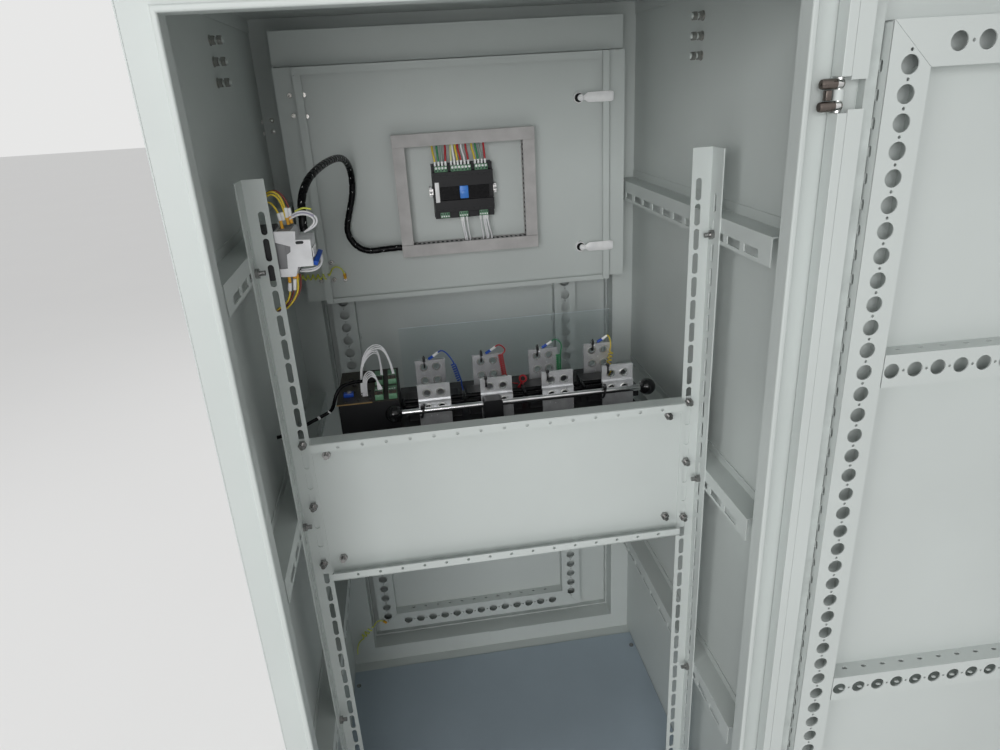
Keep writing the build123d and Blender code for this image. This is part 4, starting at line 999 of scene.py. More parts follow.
def ductParts(look, length, setBack):
    # along u, its back on w = 0 and its cover towards w
    half, depth, wall = look["width"] / 2, look["back"] - look["front"] - setBack, look["wall"]
    rim, cover, foot, wide = look["coverRim"], look["cover"], look["slotFoot"], look["slotWide"]
    top = depth - rim + look["combOver"]
    outline = [(0, 0), (0, top)]
    place = look["slotPitch"] / 2
    while place + wide < length - look["slotEnd"]:
        outline += [(place, top), (place, foot), (place + wide, foot), (place + wide, top)]
        place += look["slotPitch"]
    comb = sheetMesh(outline + [(length, top), (length, 0)], [], wall)
    parts = [(comb, facing(side * (half - wall * look["wallInset"]))) for side in (-1, 1)]
    parts += blocks([((0, -half + wall, 0), (length, half - wall, wall))], 0)
    parts += blocks([((0, -half, depth - cover), (length, half, depth))], 0.5)
    for side in (-1, 1):
        low, high = sorted((side * half, side * (half - wall)))
        parts += blocks([((0, low, depth - rim), (length, high, depth - look["rimShort"]))], 0.3)
    return parts


def makeDucts(look):
    half, left, right, low, high = look["width"] / 2, look["left"], look["right"], look["low"], look["high"]
    out, rightwards, upwards = Vector((0, -1, 0)), Vector((1, 0, 0)), Vector((0, 0, 1))
    inside, end = half - look["wall"] * look["fillInset"], look["fillEnd"]
    depth = look["back"] - look["front"] - look["coverRim"] - look["fillShort"]
    runs = [
        (left, high - half, rightwards, right - left, 0), (left, low + half, rightwards, right - left, 0),
        (left + half, low + 2 * half, upwards, high - low - 4 * half, look["setBack"]),
        (right - half, low + 2 * half, upwards, high - low - 4 * half, look["setBack"]),
    ]
    parts, fills = [], []
    for x, z, ahead, length, setBack in runs:
        place = basis((x, look["back"], z), ahead, out.cross(ahead))
        parts += placed(ductParts(look, length, setBack), place)
        fills += placed(blocks([((end, -inside, look["fillBack"]), (length - end, inside, depth))], 0.5), place)
    # dark blocks inside the ducts: the wires they hold, and painted shade that darkens the slots
    partsPiece("ductWiresAndShade", fills, "holeShade", "instrument_door")
    piece = partsPiece("slottedDucts", parts, "duct", "instrument_door")
    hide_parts("wiring_ducts")


makeDucts(duct)
print("ducts ready")


# Wiring loom in its spiral sleeve, from the power module to the ducts

loom = {
    "route": [
        (-288, -95, 1355.3), (-288, -94, 1388), (-284, -78, 1412), (-276, -48, 1429), (-266, -2, 1438),
        (-256, 58, 1443), (-245, 124, 1444), (-236, 186, 1440), (-229, 232, 1426), (-226, 262, 1400),
        (-229, 271, 1361), (-243, 271.3, 1318), (-251, 271, 1290), (-246, 270.7, 1266.5), (-230.6, 270.3, 1248),
        (-208.3, 270, 1239), (-178.4, 270, 1242), (-140.3, 270, 1242),
    ],
    "diameter": 13.0,
    "length": 673.5,
    "wrapPitch": 17.0,
    "groove": 0.75,
    "grooveWidth": 0.16,       # share of the pitch
    "bend": ((-266.0, 40.0, 1440.0), (-230.0, 240.0, 1420.0)),
    "swell": 0.12, "sides": 28, "pointStep": 1.1,
    "fleckStep": 27, "fleckSize": (3.2, 0.7, 0.3), "fleckEdge": 0.1,      # painted highlights: pale flecks on the sleeve
    "fleckSunk": 0.12, "fleckSpread": 50, "fleckSlant": 0.7, "fleckShift": (-8, 4),
}


# painted highlights on the sleeve: pale flecks turned towards the camera
def makeLoomGlints(look, places):
    chance = random.Random(11)
    length, wide, high = look["fleckSize"]
    fleck = blockMesh((-length / 2, -wide / 2, 0), (length / 2, wide / 2, high), look["fleckEdge"], 1)
    spread, slantMost = look["fleckSpread"], look["fleckSlant"]
    parts = []
    for index in range(look["fleckStep"] // 2, len(places) - 4, look["fleckStep"]):
        index += chance.randrange(*look["fleckShift"])
        ahead = (places[index + 1] - places[index - 1]).normalized()
        out = (Vector(cameraSet["place"]) * mm - places[index]).normalized()
        out = (out - ahead * out.dot(ahead)).normalized()
        out = Matrix.Rotation(math.radians(chance.uniform(-spread, spread)), 3, ahead) @ out
        spot = places[index] / mm + out * (look["diameter"] / 2 - look["fleckSunk"])
        slant = ahead + ahead.cross(out) * chance.uniform(-slantMost, slantMost)
        slant = (slant - out * slant.dot(out)).normalized()
        parts.append((fleck, basis(spot, slant, out.cross(slant))))
    return addPiece("loomPaintedGlints", mergeMeshes("glints", parts), "brightWhite")


def makeLoom(look):
    places = evenly(routeLine(look["route"]), look["pointStep"] * mm)

    def radiusAt(travelled, share):
        # a spiral groove, and a slight swell between its turns
        phase = (travelled / look["wrapPitch"] - share) % 1.0
        dip = look["groove"] if phase < look["grooveWidth"] else look["swell"] * math.cos(phase * 2 * math.pi)
        return look["diameter"] / 2 - max(0.0, dip)

    side = Vector((0, 0, 1)).cross(places[1] - places[0])
    side = side.normalized() if side.length > 1e-6 else Vector((1, 0, 0))      # where the line starts upright
    mesh = tubeMesh(places, side, look["sides"], radiusAt)
    shadeSmooth(mesh, 50)
    piece = addPiece("spiralSleevedLoom", mesh, "sleeve")
    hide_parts("wiring_loom")
    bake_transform(piece)
    glints = makeLoomGlints(look, places)
    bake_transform(glints)


makeLoom(loom)
print("loom ready")


# Wires, their sleeves and ferrules

def coilPoints(start, end, radius, turns, steps=10):
    # more points of a wire's own line, wound round a straight run
    a, b = Vector(start), Vector(end)
    ahead = (b - a).normalized()
    side = ahead.cross(Vector((0, 0.2, 1))).normalized()
    other = ahead.cross(side)
    total = int(turns * steps)
    return [
        tuple(a.lerp(b, i / total) + (side * math.cos(2 * math.pi * i / steps) + other * math.sin(2 * math.pi * i / steps)) * radius)
        for i in range(total + 1)
    ]


def sleeveMesh(radius, length, taper=1.0):
    return latheMesh([(0, 0), (radius * 0.8, 0), (radius, 0.5), (radius * taper, length - 0.5),
                      (radius * taper * 0.8, length), (0, length)], 16)


def sleeveGroup(name, places, radius, finish, body, taper=1.0):
    # places are pairs of the two ends of each sleeve
    parts = []
    for start, end in places:
        a, b = Vector(start), Vector(end)
        parts.append((sleeveMesh(radius, (b - a).length, taper), along(a, b - a)))
    return meshPiece(name, mergeMeshes(name, parts), finish, body, 40)


controllerWires = {
    "diameter": 4.2,
    "lowerDiameter": 3.2,
    "ductLow": 1447.0,
    # x at the plug, x at the duct, finish
    "top": [
        (-55.8, -59.0, "wireYellow"), (-48.4, -49.5, "wireGreen"), (-41.2, -41.0, "wireGrey"), (-34.0, -32.1, "wireRed"),
        (-22.5, -21.2, "wireCream"), (-15.6, -17.4, "wireWhite"), (-8.8, -12.0, "wireYellow"), (-1.8, -6.8, "wireRed"),
        (5.6, 0.6, "wireWhite"), (13.2, 10.0, "wireRed"),
        (27.0, 22.0, "wireYellow"), (34.2, 29.7, "wireGreen"), (41.0, 37.2, "wireGrey"), (48.0, 47.1, "wireRed"),
    ],
    "bottom": [(-8.9, -3.4), (-5.2, 0.0), (2.6, 6.5), (31.6, 35.3), (38.6, 43.0), (42.0, 46.4), (46.3, 53.7)],
    "ductHigh": 1246.0,
}


def makeControllerWires(look):
    byFinish = {}
    sleeves = []
    for x, xUp, finish in look["top"]:
        route = [(x, 265, 1404), (x, 265.6, 1413), (x * 0.6 + xUp * 0.4, 267, 1424), (xUp, 270, 1436),
                 (xUp, 272, look["ductLow"])]
        byFinish.setdefault(finish, []).append(route)
        sleeves.append(((x, 265, 1403.6), (x, 265.6, 1413)))
    low = []
    for x, xDown in look["bottom"]:
        low.append([(x, 264.5, 1298), (x, 265, 1288), (x * 0.6 + xDown * 0.4, 267, 1270), (xDown, 270, 1256),
                    (xDown + 0.8, 273, look["ductHigh"])])
        sleeves.append(((x, 264.5, 1298), (x, 264.9, 1289.5)))
    wireCurve("controllerLowerWires", low, look["lowerDiameter"], "wireWhite", "instrument_door")
    for finish, routes in byFinish.items():
        wireCurve("controller" + finish[0].upper() + finish[1:], routes, look["diameter"], finish, "instrument_door")
    sleeveGroup("controllerFerrules", sleeves, 2.3, "brightWhite", "instrument_door")


makeControllerWires(controllerWires)


# Controller: plug rims, screws, cap, blank strip, and dark plates that paint the shade of its recess and slots

controller = {
    "plugs": [  # middle, width, ways, bottom, top
        (-44.8, 26.4, 4, 1392.0, 1403.5), (-3.6, 42.0, 6, 1392.0, 1403.5), (38.6, 27.0, 4, 1392.0, 1403.5),
        (-43.2, 19.4, 4, 1298.5, 1310.0), (-4.0, 18.6, 4, 1298.5, 1310.0), (38.6, 18.2, 4, 1298.5, 1310.0),
    ],
    "plugFace": 258.4,
    "clampPads": [(-72.0, -64.5), (63.5, 71.0)],
    "cap": ((-9.4, 253.5, 1337.0), (8.4, 264.5, 1362.5)),
    "band": ((-50.0, 256.7, 1336.5), (52.0, 257.3, 1362.0)),
    "strip": ((-60.2, 256.6, 1331.5), (-51.6, 257.2, 1372.0)),
}


def makeControllerTrim(look):
    screws, rims, sockets = [], [], []
    for middle, width, ways, low, high in look["plugs"]:
        sockets.append((blockMesh((middle - width / 2, look["plugFace"], low), (middle + width / 2, 266, high), 0.5), same))
        pitch = width / ways
        upper = high > 1350
        for way in range(ways):
            x = middle + pitch * (way - (ways - 1) / 2)
            z = high - 3.4 if upper else low + 3.4
            screws.append((latheMesh([(0, 0.7), (pitch * 0.26, 0.6), (pitch * 0.36, 0)], 14),
                           along((x, look["plugFace"], z), (0, -1, 0))))
            z = low + 3.2 if upper else high - 3.2
            rims.append((blockMesh((x - pitch * 0.3, look["plugFace"] - 0.3, z - 1.7),
                                   (x + pitch * 0.3, look["plugFace"] + 0.2, z + 1.7), 0.1), same))
    piece = meshPiece("plugSockets", mergeMeshes("sockets", sockets), "green", "instrument_door", 40)
    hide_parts("controller_plugs")
    # darker sheet over the case's recessed band: painted shade of the recess
    meshPiece("controllerRecessShade", blockMesh(*look["band"], 0.2), "sleeve", "instrument_door")
    meshPiece("plugScrews", mergeMeshes("screws", screws), "brightWhite", "instrument_door", 40)
    pads, notchShades = [], []
    for x0, x1 in look["clampPads"]:
        for z0, z1 in ((1341.0, 1345.6), (1356.4, 1361.0)):
            pads.append((blockMesh((x0 + 0.8, 275, z0), (x1 - 0.8, 294, z1), 1.2), same))
        pads.append((latheMesh([(3.2, 0), (3.2, 1.4), (2.6, 1.9), (0, 1.9)], 6),
                     along(((x0 + x1) / 2, 273, 1351), (0, -1, 0))))
        # dark strip across each pad: painted shade of the clamp's notch
        notchShades.append((blockMesh((x0 + 1.0, 271, 1350.2), (x1 - 1.0, 271.4, 1351.8), 0.1), same))
    meshPiece("clampPads", mergeMeshes("pads", pads), "brightWhite", "instrument_door", 40)
    meshPiece("clampSlots", mergeMeshes("notchShades", notchShades), "holeShade", "instrument_door")
    meshPiece("plugLatches", mergeMeshes("rims", rims), "darkGreen", "instrument_door", 40)
    (x0, y0, z0), (x1, y1, z1) = look["cap"]
    parts = [blockMesh((x0, y0, z0), (x1, y1, z1), 1.2, 3), blockMesh((x0 + 2, y0 - 1.2, z0 + 5), (x1 - 2, y0 + 0.5, z0 + 15), 0.5)]
    meshPiece("blueCap", mergeMeshes("cap", [(part, same) for part in parts]), "capBlue", "instrument_door", 40)
    meshPiece("blankStrip", blockMesh(*look["strip"], 0.2), "brightWhite", "instrument_door", 40)
    # dark strips on the case: painted shade of its vent slots
    slots = [blockMesh((-58 + 13 * i, 256.7, 1383.5), (-49 + 13 * i, 257.1, 1385), 0.1) for i in range(9)]
    slots += [blockMesh((-58 + 13 * i, 256.7, 1315), (-49 + 13 * i, 257.1, 1316.5), 0.1) for i in range(9)]
    meshPiece("controllerVents", mergeMeshes("vents", [(slot, same) for slot in slots]), "holeShade",
              "instrument_door")


makeControllerTrim(controller)
print("controller ready")


# Power module: terminals, clip, recesses, wires and sleeves

module = {
    "near": -144.0, "far": -84.0,
    "shell": [(-327, 1366), (-295, 1364.4), (-296.6, 1351.2), (-274.5, 1350), (-275.5, 1309.6), (-299, 1309.6),
              (-304, 1295.2), (-327, 1296), (-327, 1308.3), (-314.5, 1308.4), (-312.5, 1330), (-306.5, 1333.5),
              (-305.5, 1342), (-325, 1349), (-327, 1350)],
    "foot": ((-358.7, -142.5, 1291), (-328, -84, 1369)),
    "core": ((-328, -142.8, 1299), (-303, -84, 1360)),
    "clip": [((-325, -143.8, 1311), (-313.5, -142, 1346)), ((-314, -143.8, 1334), (-307.5, -142, 1341)),
             ((-314, -143.8, 1312), (-309.5, -142, 1326))],
    "slotPlace": (-291.0, 1347.0), "slotSize": (12.0, 4.6),
    "lid": [((-323, -141, 1364), (-303, -128, 1366)), ((-323, -125, 1364), (-303, -88, 1366))],
    "plug": ((-272.8, -138.0, 1312.0), (0.10, 0.97, 0.20), (0.92, 0.0, -0.39), (46.0, 3.8, 3.4)),
    "ribs": (-274.6, 1323.0, 1336.0, 8, 5.2),
}


def makeModuleTrim(look):
    near, far = look["near"], look["far"]
    shell = sheetMesh(look["shell"], [], far - near)
    foot = blockMesh(*look["foot"], 1.0)
    place = basis((0, (near + far) / 2, 0), (1, 0, 0), (0, 0, 1))
    whole = meshPiece("moduleShell", mergeMeshes("shell", [(shell, place), (foot, same)]), "white", "cabinet")
    whole.data.materials.append(finishes["black"])
    edge = look["foot"][1][0] * mm
    for face in whole.data.polygons:
        face.material_index = 1 if face.center.x <= edge else 0
    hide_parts("power_module")
    core = [(blockMesh(*look["core"], 0.6), same)] + [(blockMesh(a, b, 0.6), same) for a, b in look["clip"] + look["lid"]]
    meshPiece("moduleClip", mergeMeshes("clip", core), "greyMoulding", "cabinet", 40)
    # dark disc on the near face: painted shade of the slot
    hole = sheetMesh(slotHole(0, 0, *look["slotSize"]), [], 0.5)
    x, z = look["slotPlace"]
    meshPiece("moduleSlot", mergeMeshes("slot", [(hole, basis((x, near - 0.15, z), (1, 0, 0), (0, 0, 1)))]), "holeShade",
              "cabinet")
    x, low, high, count, pitch = look["ribs"]
    ribs = [(blockMesh((x, y - 1.2, low), (x + 2, y + 1.2, high), 0.3), same)
            for y in (near + 4.5 + i * pitch for i in range(count))]
    meshPiece("moduleRibs", mergeMeshes("ribs", ribs), "brightWhite", "cabinet", 40)
    shade = blockMesh((x - 0.5, near + 2, low), (x + 0.4, near + 4 + count * pitch, high), 0.1)
    meshPiece("moduleRibShade", shade, "holeShade", "cabinet")
    start, length, wide, (reach, across, deep) = look["plug"]
    plug = blockMesh((0, -across, -deep), (reach, across, deep), 0.7)
    piece = meshPiece("moduleBluePlug", mergeMeshes("plug", [(plug, basis(start, length, wide))]), "blue", "cabinet", 40)
    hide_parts("module_plug")


moduleWires = {
    "diameter": 3.0,
    "wireYellow": [
        [(-345, -112, 1413), (-331.7, -112, 1419.3), (-324.5, -112, 1421.8), (-315.5, -112, 1416.8),
         (-310.2, -112, 1404), (-308.8, -112, 1391), (-308, -112, 1374)],
        [(-345, -115, 1409), (-332, -115, 1415.6), (-325, -115, 1418), (-317.4, -115, 1413.6), (-312.6, -115, 1402),
         (-311, -114, 1391), (-310, -113, 1378)],
        [(-345, -118, 1405), (-330.8, -118, 1408.3), (-324.1, -118, 1401), (-319.2, -118, 1389.3),
         (-317.5, -118, 1378), (-316.8, -118, 1366)],
        [(-317, -130, 1294), (-317, -130, 1284), (-319, -130, 1272), (-321, -130, 1261), (-329, -129, 1249),
         (-345, -128, 1240)],
        [(-307, -116, 1290), (-307, -116, 1272), (-312, -117, 1260), (-321, -118, 1247), (-333, -119, 1237),
         (-346, -120, 1231)],
    ],
    "wireBrown": [
        [(-344, -108, 1415), (-331, -108, 1421), (-317.9, -108, 1422), (-310, -108, 1413.5), (-305, -108, 1401.8),
         (-303.6, -108, 1391), (-303, -108, 1372)],
        [(-311, -118, 1294), (-311, -118, 1277), (-315.6, -118, 1266), (-321.6, -118, 1253), (-331, -118, 1243),
         (-346, -118, 1236)],
        [(-303, -110, 1291), (-303, -110, 1276), (-308, -112, 1262), (-317, -114, 1250), (-330, -116, 1240),
         (-346, -118, 1232)],
    ],
    "wireWhite": [
        [(-306, -108, 1380), (-303, -108, 1382.7), (-288.4, -108, 1388.8), (-273.6, -108, 1386), (-262, -108, 1374.4),
         (-270.6, -108, 1361), (-286.6, -108, 1356)],
        [(-306, -110, 1377.5), (-302, -110, 1379.6), (-288, -110, 1384.6), (-275, -110, 1382), (-266.6, -110, 1373.5),
         (-273.6, -110, 1363.5), (-286, -110, 1356)],
        [(-267.5, -95, 1318), (-265, -97, 1309), (-271, -100, 1299), (-285, -101, 1295), (-301, -102, 1296)],
        [(-268, -103, 1317), (-265.6, -104, 1308), (-272.4, -106, 1296.6), (-287, -106, 1292.5), (-303, -106, 1294.5)],
    ],
    "wireViolet": [
        [(-306, -109, 1378.8), (-303, -109, 1381), (-288, -109, 1386.6), (-275, -109, 1384), (-268, -109, 1380)],
    ],
    "wireLime": [[(-296, -104, 1388), (-288, -104, 1391.4), (-280, -104, 1392.6), (-271, -104, 1389.6)]],
}


def makeModuleWires(look):
    for finish, routes in look.items():
        if finish != "diameter":
            wireCurve("module" + finish[0].upper() + finish[1:], routes, look["diameter"], finish, "cabinet")
    sleeves = [((-308.4, -112.6, 1396), (-307.8, -112.6, 1381)), ((-303.8, -108.6, 1395), (-303.4, -108.6, 1382)),
               ((-318.8, -118.6, 1389.5), (-317.6, -118.6, 1378)), ((-314.4, -113, 1390), (-314.1, -113, 1377)),
               ((-317.4, -130.6, 1283), (-319.4, -130.6, 1270)), ((-311, -118.8, 1286), (-313.8, -118.8, 1268))]
    sleeveGroup("moduleSleeves", sleeves, 3.0, "brightWhite", "cabinet")
    tips = [((-307.8, -112.6, 1383), (-307.6, -112.6, 1370)), ((-303.4, -108.6, 1384), (-303, -108.6, 1371)),
            ((-317.6, -118.6, 1379.5), (-316.4, -118.6, 1364.5)), ((-317, -130.6, 1296), (-317.2, -130.6, 1284)),
            ((-311, -118.6, 1296), (-311, -118.6, 1286.5)), ((-306.6, -116, 1296), (-306.8, -116, 1286))]
    sleeveGroup("moduleFerrules", tips, 2.3, "ferrule", "cabinet", 1.15)


makeModuleTrim(module)
makeModuleWires(moduleWires)
print("power module ready")


# Changeover switch: bars, lug rims, ties, sensing wires and terminal blocks

poles = [-108.0, 12.5, 133.0, 253.5]
switch = {
    "bars": [(34.0, 975.2, 5.2), (58.0, 975.2, 5.2)],        # y, z, radius
    "nearHoles": [(-5.0, 986.0), (0.0, 1015.0)],
    "farHoles": [(145.0, 1012.0), (145.0, 982.0)],
    "holeOffset": 13.0,
    "shieldEdge": ((-167.0, 198.1, 1083.8), (294.0, 199.9, 1085.0)),
}


def makeSwitchTrim(look):
    bars = []
    for y, z, radius in look["bars"]:
        bars.append((sleeveMesh(radius, 452), along((-170, y, z), (1, 0, 0))))
    for x in (-168, -48, 73, 193, 274):
        bars.append((blockMesh((x - 3, 24, 969), (x + 3, 68, 984), 1.2), same))
    meshPiece("switchBars", mergeMeshes("bars", bars), "sleeve", "cabinet", 40)
    # bright plated rings round the lug holes: a painted highlight on each hole's rim
    rim = latheMesh([(6.4, 0.0), (6.4, 0.9), (7.8, 0.9), (8.8, 0.0), (6.4, 0.0)], 28)
    rims = []
    for pole in poles:
        for side in (-1, 1):
            for y, z in look["nearHoles"] + look["farHoles"]:
                rims.append((rim, along((pole + side * look["holeOffset"], y, z), (0, -1, 0))))
    meshPiece("lugHoleHighlightRims", mergeMeshes("rims", rims), "bright", "cabinet", 40)
    # thin pale strip on the shield's top edge: a painted highlight
    low, high = look["shieldEdge"]
    meshPiece("shieldTopHighlight", blockMesh(low, high, 0.2), "shieldPaintedHighlight", "cabinet", 40)


def tieLoop(centre, across, up, width, height, turn=0.0):
    # a cable tie's closed loop, drawn in the plane of two directions
    a, b, c = Vector(across).normalized(), Vector(up).normalized(), Vector(centre)
    points = []
    for i in range(16):
        angle = 2 * math.pi * i / 16 + turn
        points.append(c + a * width / 2 * math.cos(angle) + b * height / 2 * math.sin(angle))
    return points


def strapMesh(points, side, width, thickness):
    # flat strap along a closed loop
    shape = bmesh.new()
    across = Vector(side).normalized() * width / 2
    centre = sum(points, Vector()) / len(points)
    rings = []
    for place in points:
        out = (place - centre).normalized() * thickness
        rings.append([shape.verts.new(v * mm) for v in (place - across, place + across, place + across + out, place - across + out)])
    for i, ring in enumerate(rings):
        following = rings[(i + 1) % len(rings)]
        for k in range(4):
            shape.faces.new((ring[k], ring[(k + 1) % 4], following[(k + 1) % 4], following[k]))
    bmesh.ops.recalc_face_normals(shape, faces=shape.faces[:])
    mesh = bpy.data.meshes.new("strap")
    shape.to_mesh(mesh)
    shape.free()
    return mesh


def makeTies():
    parts = []
    for pole in poles[1:]:
        x = pole - 20.0
        loop = tieLoop((x, 2.5, 1024), (0, 1, 0), (0, 0, 1), 13, 19)
        parts.append((strapMesh(loop, (1, 0, 0), 3.6, 1.2), same))
        parts.append((blockMesh((x - 3, -6, 1032), (x + 3, 0, 1038), 0.8), same))
    for pole in poles:
        x = pole - 12.0
        loop = tieLoop((x, 147.5, 1020), (0, 1, 0), (0, 0, 1), 13, 19)
        parts.append((strapMesh(loop, (1, 0, 0), 3.6, 1.2), same))
        parts.append((blockMesh((x - 2.8, 139, 1026), (x + 2.8, 145, 1036), 0.8), same))
        parts.append((blockMesh((x - 1.4, 141, 1034), (x + 1.4, 143, 1039), 0.4), same))
    for x, low in ((-133.0, 969.0), (222.0, 968.0)):
        loop = tieLoop((x, -9.0, 983), (0, 1, 0.1), (0.25, 0, 1), 23, 27)
        parts.append((strapMesh(loop, (1, 0, 0), 4.2, 1.3), same))
        parts.append((blockMesh((x - 3.4, -25, low + 24), (x + 3.4, -18, low + 31), 0.8), same))
    meshPiece("cableTies", mergeMeshes("ties", parts), "tie", "cabinet", 40)


sensing = {
    "diameter": 2.8,
    "coilRadius": 4.6,
    # pole, finish, coil top, coil bottom, turns, tail
    "runs": [
        (-108.0, "wireBlue", (-60, 140, 1016), (-49, 140, 974), 8, [(-45, 138, 962), (-43, 132, 955)]),
        (12.5, "wireRed", (41, 140, 1026), (47, 140, 978), 10, [(50, 128, 970), (60, 112, 968), (70, 101, 972)]),
        (133.0, "wireGreen", (165.5, 140, 1013), (166.4, 140, 972), 9, [(168, 136, 962), (170, 128, 956)]),
        (253.5, "wireYellow", (281, 136, 1008), (268, 120, 975), 5, [(262, 100, 968), (255, 60, 985), (246, 20, 1012)]),
    ],
}


def makeSensing(look):
    for pole, finish, top, bottom, turns, tail in look["runs"]:
        start = (pole + 17.5, 138, 1043.5)
        lead = [start, (pole + 22, 137, 1049), (pole + 31, 138, 1047), (pole + 41, 139, 1035)]
        if pole > 250:
            lead = [start, (pole + 19, 137, 1047), (pole + 24, 137, 1041), (pole + 27, 137, 1022)]
        route = lead + coilPoints(top, bottom, look["coilRadius"], turns) + tail
        wireCurve("sensing" + finish[0].upper() + finish[1:], [route], look["diameter"], finish, "cabinet", 2)
    lugs, sleeves, rings = [], [], []
    ring = latheMesh([(4.2, 0), (4.2, 1.0), (7.2, 1.0), (7.2, 0), (4.2, 0)], 20)
    for pole in poles:
        lugs.append(((pole - 2, 142, 1030.5), (pole + 8.5, 139.5, 1037.5)))
        sleeves.append(((pole + 7.5, 139.6, 1037), (pole + 18.5, 137.8, 1044.5)))
        rings.append((ring, along((pole - 10.5, 143.8, 1024.5), (0, -1, 0))))
    sleeveGroup("sensingLugSleeves", lugs, 3.1, "wireBlue", "cabinet")
    sleeveGroup("sensingMarkers", sleeves, 2.8, "brightWhite", "cabinet")
    meshPiece("sensingRings", mergeMeshes("rings", rings), "lug", "cabinet", 40)
    # loose red ring lug beside the second pole
    parts = [(latheMesh([(5.0, 0), (5.0, 3.2), (8.6, 3.2), (8.6, 0), (5.0, 0)], 24), along((81, 99, 983), (-0.35, -0.9, 0.2)))]
    a = Vector((79, 98, 974))
    parts.append((sleeveMesh(3.8, 14), along(a, Vector((-0.55, 0.1, -0.8)))))
    meshPiece("redRingLug", mergeMeshes("redRing", parts), "wireRed", "cabinet", 40)


drive = {
    "blocks": [  # x middle, y range, z range of upper and lower parts
        (-212.0, (6.0, 30.0), (1008.6, 1025.6)), (-186.0, (6.0, 30.0), (1008.6, 1025.6)),
        (-212.0, (56.0, 92.0), (1008.6, 1035.6)), (-186.0, (56.0, 92.0), (1008.6, 1035.6)),
    ],
    "arcDiameter": 2.3,
}


def makeDrive(look):
    greens, screws = [], []
    for x, (y0, y1), (z0, z1) in look["blocks"]:
        step = z1 - 6.5
        greens.append((blockMesh((x - 8, y0 - 0.4, z0), (x + 8, y1 + 0.4, step + 0.4), 0.5), same))
        greens.append((blockMesh((x - 8, y0 + 6, z0), (x + 8, y1 + 0.4, z1 + 0.3), 0.8), same))
        for k in (-1, 0, 1):
            screws.append((latheMesh([(0, 0.4), (1.6, 0.4), (2.0, 0)], 12), along((x + k * 5, y0 + 10, z1 + 0.3), (0, 0, 1))))
            greens.append((blockMesh((x + k * 5 - 2.1, y0 - 1.2, z0 + 2), (x + k * 5 + 2.1, y0 + 2, step - 2), 0.4), same))
    meshPiece("driveBlocks", mergeMeshes("blocks", greens), "green", "cabinet", 40)
    meshPiece("driveScrews", mergeMeshes("screws", screws), "chrome", "cabinet", 40)
    small = random.Random(5)
    chips, caps = [], []
    for i in range(16):
        x, y = small.uniform(-288, -228), small.uniform(8, 160)
        w, d, h = small.uniform(3, 9), small.uniform(3, 9), small.uniform(1.2, 5)
        chips.append((blockMesh((x, y, 1008.4), (min(x + w, -226), min(y + d, 167), 1008.6 + h), 0.3), same))
    for x, y in ((-246, 112), (-270, 40), (-232, 132)):
        caps.append((sleeveMesh(4.2, 11), along((x, y, 1008.4), (0, 0, 1))))
    meshPiece("driveChips", mergeMeshes("chips", chips), "black", "cabinet", 40)
    meshPiece("driveCapacitors", mergeMeshes("caps", caps), "greyMoulding", "cabinet", 40)
    meshPiece("driveRelay", blockMesh((-281, 34, 1008.4), (-262, 46, 1016), 1.0), "wireBlue", "cabinet", 40)
    meshPiece("driveBoardEdge", blockMesh((-293, 0.5, 1006.8), (-226, 1.3, 1009), 0.1), "boardEdge", "cabinet")
    near, far = [], []
    for k in range(4):
        near.append([(-243 + k * 2.6, 24, 1012), (-241 + k * 2.2, 22, 1040), (-234 + k * 1.8, 20, 1060 - 3 * k), (-222 + k, 18, 1067 - 4 * k),
                     (-212 + k, 17, 1050 - 4 * k), (-213 + k * 2.6, 17, 1026)])
    for k in range(3):
        far.append([(-247 + k * 1.6, 40, 1006), (-246 + k, 42, 1045), (-238 + k, 46, 1078 - k * 2), (-218 + k, 54, 1098 - 4 * k),
                    (-204, 62, 1088 - 5 * k), (-204 - k * 1.6, 68, 1034)])
        far.append([(-246 + k * 1.6, 44, 1006), (-245 + k, 46, 1050), (-234 + k, 50, 1092 - k * 3), (-208 + k, 56, 1108 - 4 * k),
                    (-188, 62, 1084 - 4 * k), (-181 - k * 1.6, 68, 1034)])
    wireCurve("driveArcs", near + far, look["arcDiameter"], "wireWhite", "cabinet")
    blacks = [
        [(-398, -60, 985), (-372, -40, 980), (-345, -14, 986), (-318, 0, 992), (-303, 3, 999), (-297, 3, 1012),
         (-291, 6, 1030), (-280, 12, 1043), (-255, 20, 1046), (-230, 28, 1041), (-214, 34, 1038)],
    ]
    wireCurve("driveLead", blacks, 6.6, "sleeve", "cabinet", 4)
    clips = [((-330, -7, 989), (-326, -4, 990.5)), ((-309, 2, 995.5), (-306.4, 2.6, 997.6))]
    sleeveGroup("driveLeadMarkers", clips, 3.9, "brightWhite", "cabinet")


makeSwitchTrim(switch)
makeTies()
makeSensing(sensing)
makeDrive(drive)
print("switch ready")


# Fixings: wall studs, hinge screws, earth wires, latch ends

def hexMesh(across, height, chamfer=0.5):
    radius = across / math.sqrt(3)
    return latheMesh([(0, 0), (radius, 0), (radius, height - chamfer), (radius * 0.9, height), (0, height)], 6)


